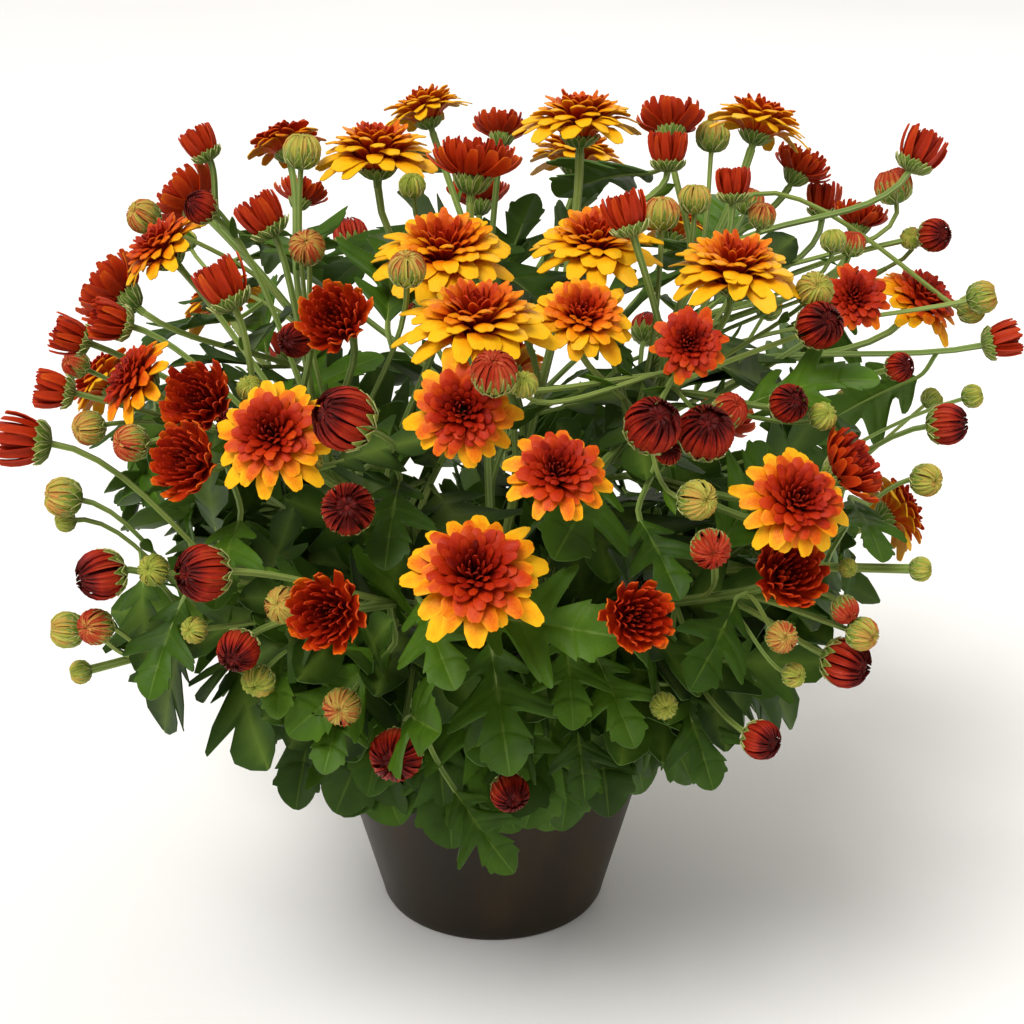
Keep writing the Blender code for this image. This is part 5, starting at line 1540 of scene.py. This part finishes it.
def grow_leaf(owner, leaf, shape, tones, bends=5):
    """Adds a leaf, with waves and a tone drawn for it, to the blades and stalks of its stem."""
    wave = (dice.uniform(*WAVE_HEIGHTS), dice.uniform(*WAVE_STARTS), dice.normal(0, TWIST))
    blades, stalk = leaf_batches(leaf, shape, dice.uniform(*tones), wave, bends)
    by_owner[owner][0].extend(blades)
    by_owner[owner][1].append(stalk)


swings = 0
for owner, leaf in leaves:
    turned = swung_clear(leaf)
    swings += turned.tip != leaf.tip
    grow_leaf(owner, turned, FINE_BLADE, SPREAD_HABIT.tones)
print(swings, "leaves swing clear of a head")

# %% Hang leaves over the rim
LEAF_SEED = 5
leaf_draw = random.Random(LEAF_SEED)
# A blade that is nearly edge-on to its own facing is left out
STEEPEST = 0.85
# A skirt of fine leaves hangs over the rim of the pot, a little denser in front
HANG_LOWEST = 0.085
FRONT_LOWEST = 0.066
FRONT_HALF = 0.030
SKIRT_LEAVES = 64
FRONT_LEAVES = 18
FRONT_SPREAD = 0.75
SKIRT_RADII = (0.078, 0.096)
SKIRT_HEIGHTS = (0.118, 0.145)
SKIRT_DISTANCES = (0.018, 0.060)
SKIRT_BASES = 6
SKIRT_DROOP = 0.55
SKIRT_HABIT = Habit((0.048, 0.070), 0.3, 0.55, (0.03, 0.12), (0.05, 0.2), (0.2, 0.65))
# A tip inside this radius stays above the rim
RIM_CLEAR = 0.084
RIM_ABOVE = 0.114
# The far side is seen less, and gets the plain blade
FINE_SIDE = 0.1
skirt = 0
for turn in range(SKIRT_LEAVES + FRONT_LEAVES):
    azimuth = turn * GOLDEN_ANGLE
    if turn >= SKIRT_LEAVES:
        azimuth = -math.pi / 2 + leaf_draw.uniform(-FRONT_SPREAD, FRONT_SPREAD)
    outward = Vector((math.cos(azimuth), math.sin(azimuth), 0))
    middle = outward * leaf_draw.uniform(*SKIRT_RADII) + Vector((0, 0, leaf_draw.uniform(*SKIRT_HEIGHTS)))
    for _, line, step in stalk_bases(middle, *SKIRT_DISTANCES)[:SKIRT_BASES]:
        base = on_bend(line, step)
        ahead = (middle - base).normalized()
        root = base + ahead * LEAF_STALK
        hanging = (ahead + Vector((0, 0, -SKIRT_DROOP))).normalized()
        leaf = drawn_leaf(SKIRT_HABIT, leaf_draw, base, root, hanging, outward)
        tip = leaf.tip
        lowest = FRONT_LOWEST if abs(tip.x) < FRONT_HALF and tip.y < 0 else HANG_LOWEST
        high_enough = tip.z > lowest and (tip.xy.length > RIM_CLEAR or tip.z > RIM_ABOVE)
        straight = (root - base).angle(tip - root) < LEAF_BEND
        flat = abs(ahead.dot(leaf.normal.normalized())) < STEEPEST
        if high_enough and straight and flat and clear_of_heads(outline_points(leaf)):
            shape = FINE_BLADE if outward.y < FINE_SIDE else PLAIN_BLADE
            grow_leaf(line.owner, leaf, shape, SKIRT_HABIT.tones)
            skirt += 1
            break
print(skirt, "leaves hang over the rim")

# %% Fill the bush with leaves
FILL_TRIES = 2600
FILL_LEAVES = 345
FILL_REACH = 0.87
# Behind the crest the leaves may reach a little further out, above this height
CREST_REACH = 0.93
CREST_HEIGHT = 0.27
CREST_FRONT = -0.03
FILL_SPREAD = 0.9
# Leaves that start below this height point downwards more than up
LOW_HEIGHT = 0.16
FILL_STALKS = (0.008, 0.014)
FILL_HABIT = Habit((0.034, 0.056), 0.4, 0.6, (0.0, 0.1), (0.05, 0.3), (0.0, 0.55))
POT_CLEAR_HEIGHT = 0.112
POT_CLEAR_RADIUS = 0.080
filled = 0
for attempt in range(FILL_TRIES):
    if filled == FILL_LEAVES:
        break
    owner, _, lines, _ = leaf_draw.choice(sprays)
    line = leaf_draw.choice(lines[:1] * 3 + lines)
    step = leaf_draw.randrange(2, len(line.points) - 2)
    base = on_bend(line, step)
    outward = base - DOME_CENTRE
    ahead = outward.normalized() + Vector([leaf_draw.uniform(-FILL_SPREAD, FILL_SPREAD) for _ in range(3)])
    if base.z < LOW_HEIGHT:
        ahead.z = abs(ahead.z) * 0.5 - 0.25
    ahead.normalize()
    root = base + ahead * leaf_draw.uniform(*FILL_STALKS)
    leaf = drawn_leaf(FILL_HABIT, leaf_draw, base, root, ahead, outward.normalized())
    tip = leaf.tip
    reach = (tip - DOME_CENTRE) / DOME_RADIUS
    reach.z *= DOME_RADIUS / DOME_HEIGHT
    top = CREST_REACH if tip.z > CREST_HEIGHT and tip.y > CREST_FRONT else FILL_REACH
    off_pot = min(root.z, tip.z) > POT_CLEAR_HEIGHT or root.xy.length > POT_CLEAR_RADIUS
    if reach.length > top or abs(ahead.dot(leaf.normal.normalized())) > STEEPEST:
        continue
    if off_pot and tip.z >= HANG_LOWEST and clear_of_heads(outline_points(leaf)):
        grow_leaf(owner, leaf, PLAIN_BLADE, FILL_HABIT.tones, bends=2)
        filled += 1

# %% Add the bracts
# Small plain leaves, the bracts, stand along the stalks near the heads
BRACT_KNOTS = 7
BRACT_COUNTS = (0, 1, 1, 2)
BRACT_SHARES = (0.3, 0.85)
BRACT_LENGTHS = (0.006, 0.015)
BRACT_TONES = (0.45, 0.9)
BRACT_CLEARANCE = 0.001
BARE_STALK = 0.022
bracts = 0
for owner, _, lines, _ in sprays:
    for line in lines[1:]:
        length = (line.bend.end - line.bend.start).length
        for _ in range(leaf_draw.choice(BRACT_COUNTS) if length > BARE_STALK else 0):
            share = leaf_draw.uniform(*BRACT_SHARES)
            seat = bezier(*line.bend, share)
            ahead = (bezier(*line.bend, share + 0.05) - seat).normalized()
            size = leaf_draw.uniform(*BRACT_LENGTHS)
            bow = np.linspace(0, 1, BRACT_KNOTS)
            path = np.stack([0.0003 + size * bow * 0.55, size * (bow - 0.25 * bow ** 2)], axis=1)[None]
            if not clear_of_heads(np.array([seat + ahead * size]), BRACT_CLEARANCE):
                continue
            tone = np.full((1, len(BRACT.along)), leaf_draw.uniform(*BRACT_TONES))
            wide = np.array([size * 0.16])
            bract = fan_out(BRACT, np.zeros(1), path, wide, cup=0.3, thick=SCALE_THICKNESS, tone=tone)
            # The vein mark of a bract is a line along its middle
            bract.marks[:, 2] = np.abs(bract.marks[:, 2] - 0.5) < 0.1
            by_owner[owner][0].append(moved(bract, seat, ahead, leaf_draw.uniform(0, math.tau)))
            bracts += 1

# %% Make a piece of the blades and one of the leaf stalks of each stem
for owner, (blades, stalks) in by_owner.items():
    make_piece(owner + "_blades", blades, leaf_skin, owner)
    make_piece(owner + "_leaf_stalks", stalks, stem_skin, owner)
print(filled, "leaves fill the bush, with", bracts, "bracts")

# %% [markdown]
# ## The pot
# A nursery pot is blow-moulded or injection-moulded from dark polypropylene: a thin tapered wall, a rounded
# foot, a step where the rim band starts and a rolled lip. By hand it is a disc whose edge is extruded and
# resized up the outside, over the lip and down the inside, where a face closes the floor. The drain holes are
# then cut by a boolean.

# %% Finish the pot
pot_plastic, tree, shader = new_finish("moulded_polypropylene", Roughness=0.42, Specular_IOR_Level=0.25)
place = add_node(tree, "ShaderNodeTexCoord")
# Dust and watering marks are a few centimetres across and run downwards
squeeze = add_node(tree, "ShaderNodeMapping", {"Scale": (1.0, 1.0, 0.35)},
                   {"Vector": place.outputs["Object"]})
dust = add_node(tree, "ShaderNodeTexNoise", {"Scale": 1 / (30 * MILLIMETRE), "Detail": 6.0, "Roughness": 0.62},
                {"Vector": squeeze.outputs[0]})
ramp = add_node(tree, "ShaderNodeValToRGB", links={0: dust.outputs[0]},
                stops=((0.30, "#1c1306"), (0.52, "#271c0a"), (0.75, "#382b14")))
satin = add_node(tree, "ShaderNodeMapRange", {"From Min": 0.3, "From Max": 0.7, "To Min": 0.36, "To Max": 0.56},
                 {"Value": dust.outputs[0]})
# The mould's spark-eroded grain is about half a millimetre, drawn a little coarser so that it shows
grain = add_node(tree, "ShaderNodeTexNoise", {"Scale": 1 / (0.7 * MILLIMETRE), "Detail": 2.0},
                 {"Vector": place.outputs["Object"]})
bump = add_node(tree, "ShaderNodeBump", {"Strength": 0.25, "Distance": 0.1 * MILLIMETRE},
                {"Height": grain.outputs[0]})
tree.links.new(ramp.outputs[0], shader.inputs["Base Color"])
tree.links.new(satin.outputs[0], shader.inputs["Roughness"])
tree.links.new(bump.outputs[0], shader.inputs["Normal"])

# %% Turn up the pot from a disc
POT_ROUND = 96
# Radius and height, from the foot up the outside, over the lip, and down the inside to the floor
POT_SECTION = (
    (0.0440, 0.0), (0.0456, 0.0006), (0.0466, 0.0024), (0.0472, 0.0050), (0.0583, 0.0465), (0.0693, 0.0868),
    (0.0699, 0.0884), (0.0739, 0.0886), (0.0745, 0.0896), (0.0756, 0.1040), (0.0764, 0.1050), (0.0767, 0.1065),
    (0.0762, 0.1078), (0.0752, 0.1080), (0.0743, 0.1074), (0.0728, 0.0908), (0.0722, 0.0900), (0.0684, 0.0896),
    (0.0676, 0.0880), (0.0455, 0.0050), (0.0440, 0.0024), (0.0420, 0.0018), (0.0200, 0.0018))
DRAIN_HOLES = 6
DRAIN_RADIUS = 0.005
DRAIN_CIRCLE = 0.031
DRAIN_SIDES = 24
CREASE_ANGLE = math.radians(35)


def draw_up(section):
    """Extrudes the selection of a turned piece from each radius and height of its section to the next."""
    for (radius, height), (next_radius, next_height) in zip(section, section[1:]):
        bpy.ops.mesh.extrude_region_move(TRANSFORM_OT_translate={"value": (0, 0, next_height - height)})
        grow = next_radius / radius
        bpy.ops.transform.resize(value=(grow, grow, 1))


first_radius = POT_SECTION[0][0]
bpy.ops.mesh.primitive_circle_add(vertices=POT_ROUND, radius=first_radius, fill_type="NGON")
pot = bpy.context.object
pot.name = "turned_pot"
bpy.ops.object.mode_set(mode="EDIT")
bpy.ops.mesh.select_all(action="SELECT")
bpy.ops.mesh.inset(thickness=0.004)
pick(lambda place: place.xy.length > first_radius - 0.001)
bpy.ops.mesh.select_mode(type="EDGE")
draw_up(POT_SECTION)
bpy.ops.mesh.edge_face_add()
bpy.ops.mesh.select_all(action="SELECT")
bpy.ops.mesh.normals_make_consistent(inside=False)
bpy.ops.object.mode_set(mode="OBJECT")

# %% Drill the drain holes
for step in range(DRAIN_HOLES):
    angle = math.tau * (step + 0.5) / DRAIN_HOLES
    bpy.ops.mesh.primitive_cylinder_add(
        vertices=DRAIN_SIDES, radius=DRAIN_RADIUS, depth=0.01,
        location=(math.cos(angle) * DRAIN_CIRCLE, math.sin(angle) * DRAIN_CIRCLE, 0.001))
    drill = bpy.context.object
    hole = pot.modifiers.new("drain", "BOOLEAN")
    hole.operation = "DIFFERENCE"
    hole.object = drill
    bpy.context.view_layer.objects.active = pot
    bpy.ops.object.modifier_apply(modifier="drain")
    bpy.data.objects.remove(drill, do_unlink=True)
smooth_below(pot, CREASE_ANGLE)
pot.data.materials.append(pot_plastic)
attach(pot, "root")
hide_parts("pot")
print("pot:", len(pot.data.polygons), "faces")

# %% [markdown]
# ## The soil
# Potting mix is dark peat with bark crumbs and white grains of expanded perlite. The bed is a disc drawn up
# the wall of the pot and in over the top in rings, whose points are then pushed about. The crumbs are one
# small rock copied over it.

# %% Finish the soil
SOIL_RADIUS = 0.0722
SOIL_CRUMBS = 420
CRUMB_SIZES = (0.0008, 0.0028)
# One crumb in so many is a white grain
WHITE_GRAINS = 9
BED_ROUND = 64
BED_RISE = 0.002
BED_ROUGHNESS = 0.0009
BED_EDGE = SOIL_TOP - BED_RISE
# Radius and height of the bed, from its foot up the wall of the pot and in over the top
BED_SECTION = (
    (0.0445, 0.0024), (0.0672, 0.0870), (0.0680, 0.0905), (SOIL_RADIUS, 0.0908), (SOIL_RADIUS, BED_EDGE)
) + tuple((SOIL_RADIUS * share, BED_EDGE) for share in (0.88, 0.76, 0.64, 0.52, 0.40, 0.28, 0.14))
peat, tree, shader = new_finish("damp_peat_mix", Roughness=0.92, IOR=1.45)
mark = add_node(tree, "ShaderNodeAttribute", {"attribute_name": "mark"})
place = add_node(tree, "ShaderNodeTexCoord")
crumb = add_node(tree, "ShaderNodeTexNoise", {"Scale": 1 / (2.5 * MILLIMETRE), "Detail": 5.0},
                 {"Vector": place.outputs["Object"]})
ramp = add_node(tree, "ShaderNodeValToRGB", links={0: crumb.outputs[0]},
                stops=((0.3, "#1c130c"), (0.55, "#33241a"), (0.8, "#54402e")))
perlite = add_node(tree, "ShaderNodeMath", {"operation": "GREATER_THAN", 1: 0.5}, {0: mark.outputs["Fac"]})
mixed = add_node(tree, "ShaderNodeMix", {"data_type": "RGBA", 7: linear("#d9d6cc")},
                 {0: perlite.outputs[0], 6: ramp.outputs[0]})
bump = add_node(tree, "ShaderNodeBump", {"Strength": 0.7, "Distance": 1 * MILLIMETRE},
                {"Height": crumb.outputs[0]})
tree.links.new(mixed.outputs[2], shader.inputs["Base Color"])
tree.links.new(bump.outputs[0], shader.inputs["Normal"])

# %% Draw up the bed
bpy.ops.mesh.primitive_circle_add(
    vertices=BED_ROUND, radius=BED_SECTION[0][0], fill_type="NGON", location=(0, 0, BED_SECTION[0][1]))
bed = bpy.context.object
bpy.ops.object.mode_set(mode="EDIT")
bpy.ops.mesh.select_mode(type="VERT")
bpy.ops.mesh.select_all(action="SELECT")
draw_up(BED_SECTION)
bpy.ops.mesh.select_all(action="SELECT")
bpy.ops.mesh.normals_make_consistent(inside=False)
bpy.ops.object.mode_set(mode="OBJECT")
bed_points = np.array([bed.matrix_world @ vertex.co for vertex in bed.data.vertices])
inside = np.hypot(bed_points[:, 0], bed_points[:, 1]) < SOIL_RADIUS - 0.001
on_top = (bed_points[:, 2] > SOIL_TOP - 0.003) & inside
bed_points[on_top, 2] += BED_RISE + dice.normal(0, BED_ROUGHNESS, on_top.sum())
bed_faces = [tuple(face.vertices) for face in bed.data.polygons]
bpy.data.objects.remove(bed, do_unlink=True)
# %% Scatter the crumbs
bpy.ops.mesh.primitive_ico_sphere_add(subdivisions=1, radius=1)
rock = bpy.context.object
rock_points = np.array([vertex.co for vertex in rock.data.vertices])
rock_faces = np.array([face.vertices for face in rock.data.polygons])
bpy.data.objects.remove(rock, do_unlink=True)
soil_points, soil_faces, soil_marks = [bed_points], bed_faces, [np.zeros((len(bed_points), 4))]
count = len(bed_points)
for crumb_number in range(SOIL_CRUMBS):
    radius, angle = SOIL_RADIUS * 0.95 * math.sqrt(dice.uniform()), dice.uniform(0, math.tau)
    size = dice.uniform(*CRUMB_SIZES)
    shaped = rock_points * dice.uniform(0.6, 1.2, rock_points.shape) * size
    soil_points.append(shaped + [math.cos(angle) * radius, math.sin(angle) * radius, SOIL_TOP + size * 0.4])
    soil_marks.append(np.full((len(rock_points), 4), float(crumb_number % WHITE_GRAINS == 0)))
    soil_faces += [tuple(face) for face in (rock_faces + count).tolist()]
    count += len(rock_points)
soil = marked_object("potting_mix", soil_points, soil_faces, soil_marks, peat)
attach(soil, "root")
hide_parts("soil")
print("soil:", len(soil.data.polygons), "faces")

# %% [markdown]
# ## Floor and light
# The plant stands on a plain pale floor that runs back past the view. Soft daylight falls from above and in
# front and keeps the inside of the bush dark. A wide light nearer by gives the petals their sheen, one at the
# back lights the far edge, and the sky around is a warm white.

# %% Lay the floor
bpy.ops.mesh.primitive_plane_add(size=16, location=(0, 0, 0))
floor = bpy.context.object
floor.name = "floor"
floor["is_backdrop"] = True
floor_paint, tree, shader = new_finish("matt_floor_paint", Roughness=0.9)
place = add_node(tree, "ShaderNodeTexCoord")
cloud = add_node(tree, "ShaderNodeTexNoise", {"Scale": 1.5, "Detail": 2.0},
                 {"Vector": place.outputs["Object"]})
ramp = add_node(tree, "ShaderNodeValToRGB", links={0: cloud.outputs[0]},
                stops=((0.3, "#f4f3f1"), (0.7, "#f8f7f5")))
tree.links.new(ramp.outputs[0], shader.inputs["Base Color"])
floor.data.materials.append(floor_paint)

# %% Light the sky
world = bpy.data.worlds.new("studio")
bpy.context.scene.world = world
world.use_nodes = True
world.node_tree.nodes["Background"].inputs[0].default_value = (1.0, 0.985, 0.955, 1)
world.node_tree.nodes["Background"].inputs[1].default_value = 0.55
bpy.context.scene.view_settings.view_transform = "Standard"


# %% Set the lights
def aim(light, place):
    """Turns a light at a place towards the middle of the bush."""
    light.rotation_euler = (DOME_CENTRE - Vector(place)).to_track_quat("-Z", "Y").to_euler()


DAYLIGHT_PLACE = (-1.2, -1.9, 3.4)
bpy.ops.object.light_add(type="SUN", location=DAYLIGHT_PLACE)
daylight = bpy.context.object
daylight.name = "soft_daylight"
daylight.data.angle = math.radians(30)
daylight.data.energy = 1.9
aim(daylight, DAYLIGHT_PLACE)
for name, place, size, power in (
        ("main_light", (-0.7, -0.9, 1.7), 0.9, 9), ("back_light", (0.5, 1.5, 1.3), 1.2, 8)):
    bpy.ops.object.light_add(type="AREA", location=place)
    light = bpy.context.object
    light.name = name
    light.data.size = size
    light.data.energy = power
    light.data.color = linear("#fff8ee")[:3]
    aim(light, place)
print("soft daylight and two soft lights")

# %% [markdown]
# ## Check the size and finish
# How far the dressed plant stands out of the box of its solids is printed for each axis, beside an allowance of
# 3% of the box's size and 10 mm.

# %% Write the sizes and finish
bpy.context.view_layer.update()
seen_low, seen_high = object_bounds()
for axis, name in enumerate("xyz"):
    spare = 0.03 * (cad_high[axis] - cad_low[axis]) + 0.010
    low, high = cad_low[axis] - seen_low[axis], seen_high[axis] - cad_high[axis]
    print(name, "stands out", *(round(out * 1000, 1) for out in (low, high)), "mm of", round(spare * 1000, 1))
shown = [item for item in bpy.data.objects if item.type == "MESH" and not item.hide_render]
print("faces", sum(len(item.data.polygons) for item in shown))
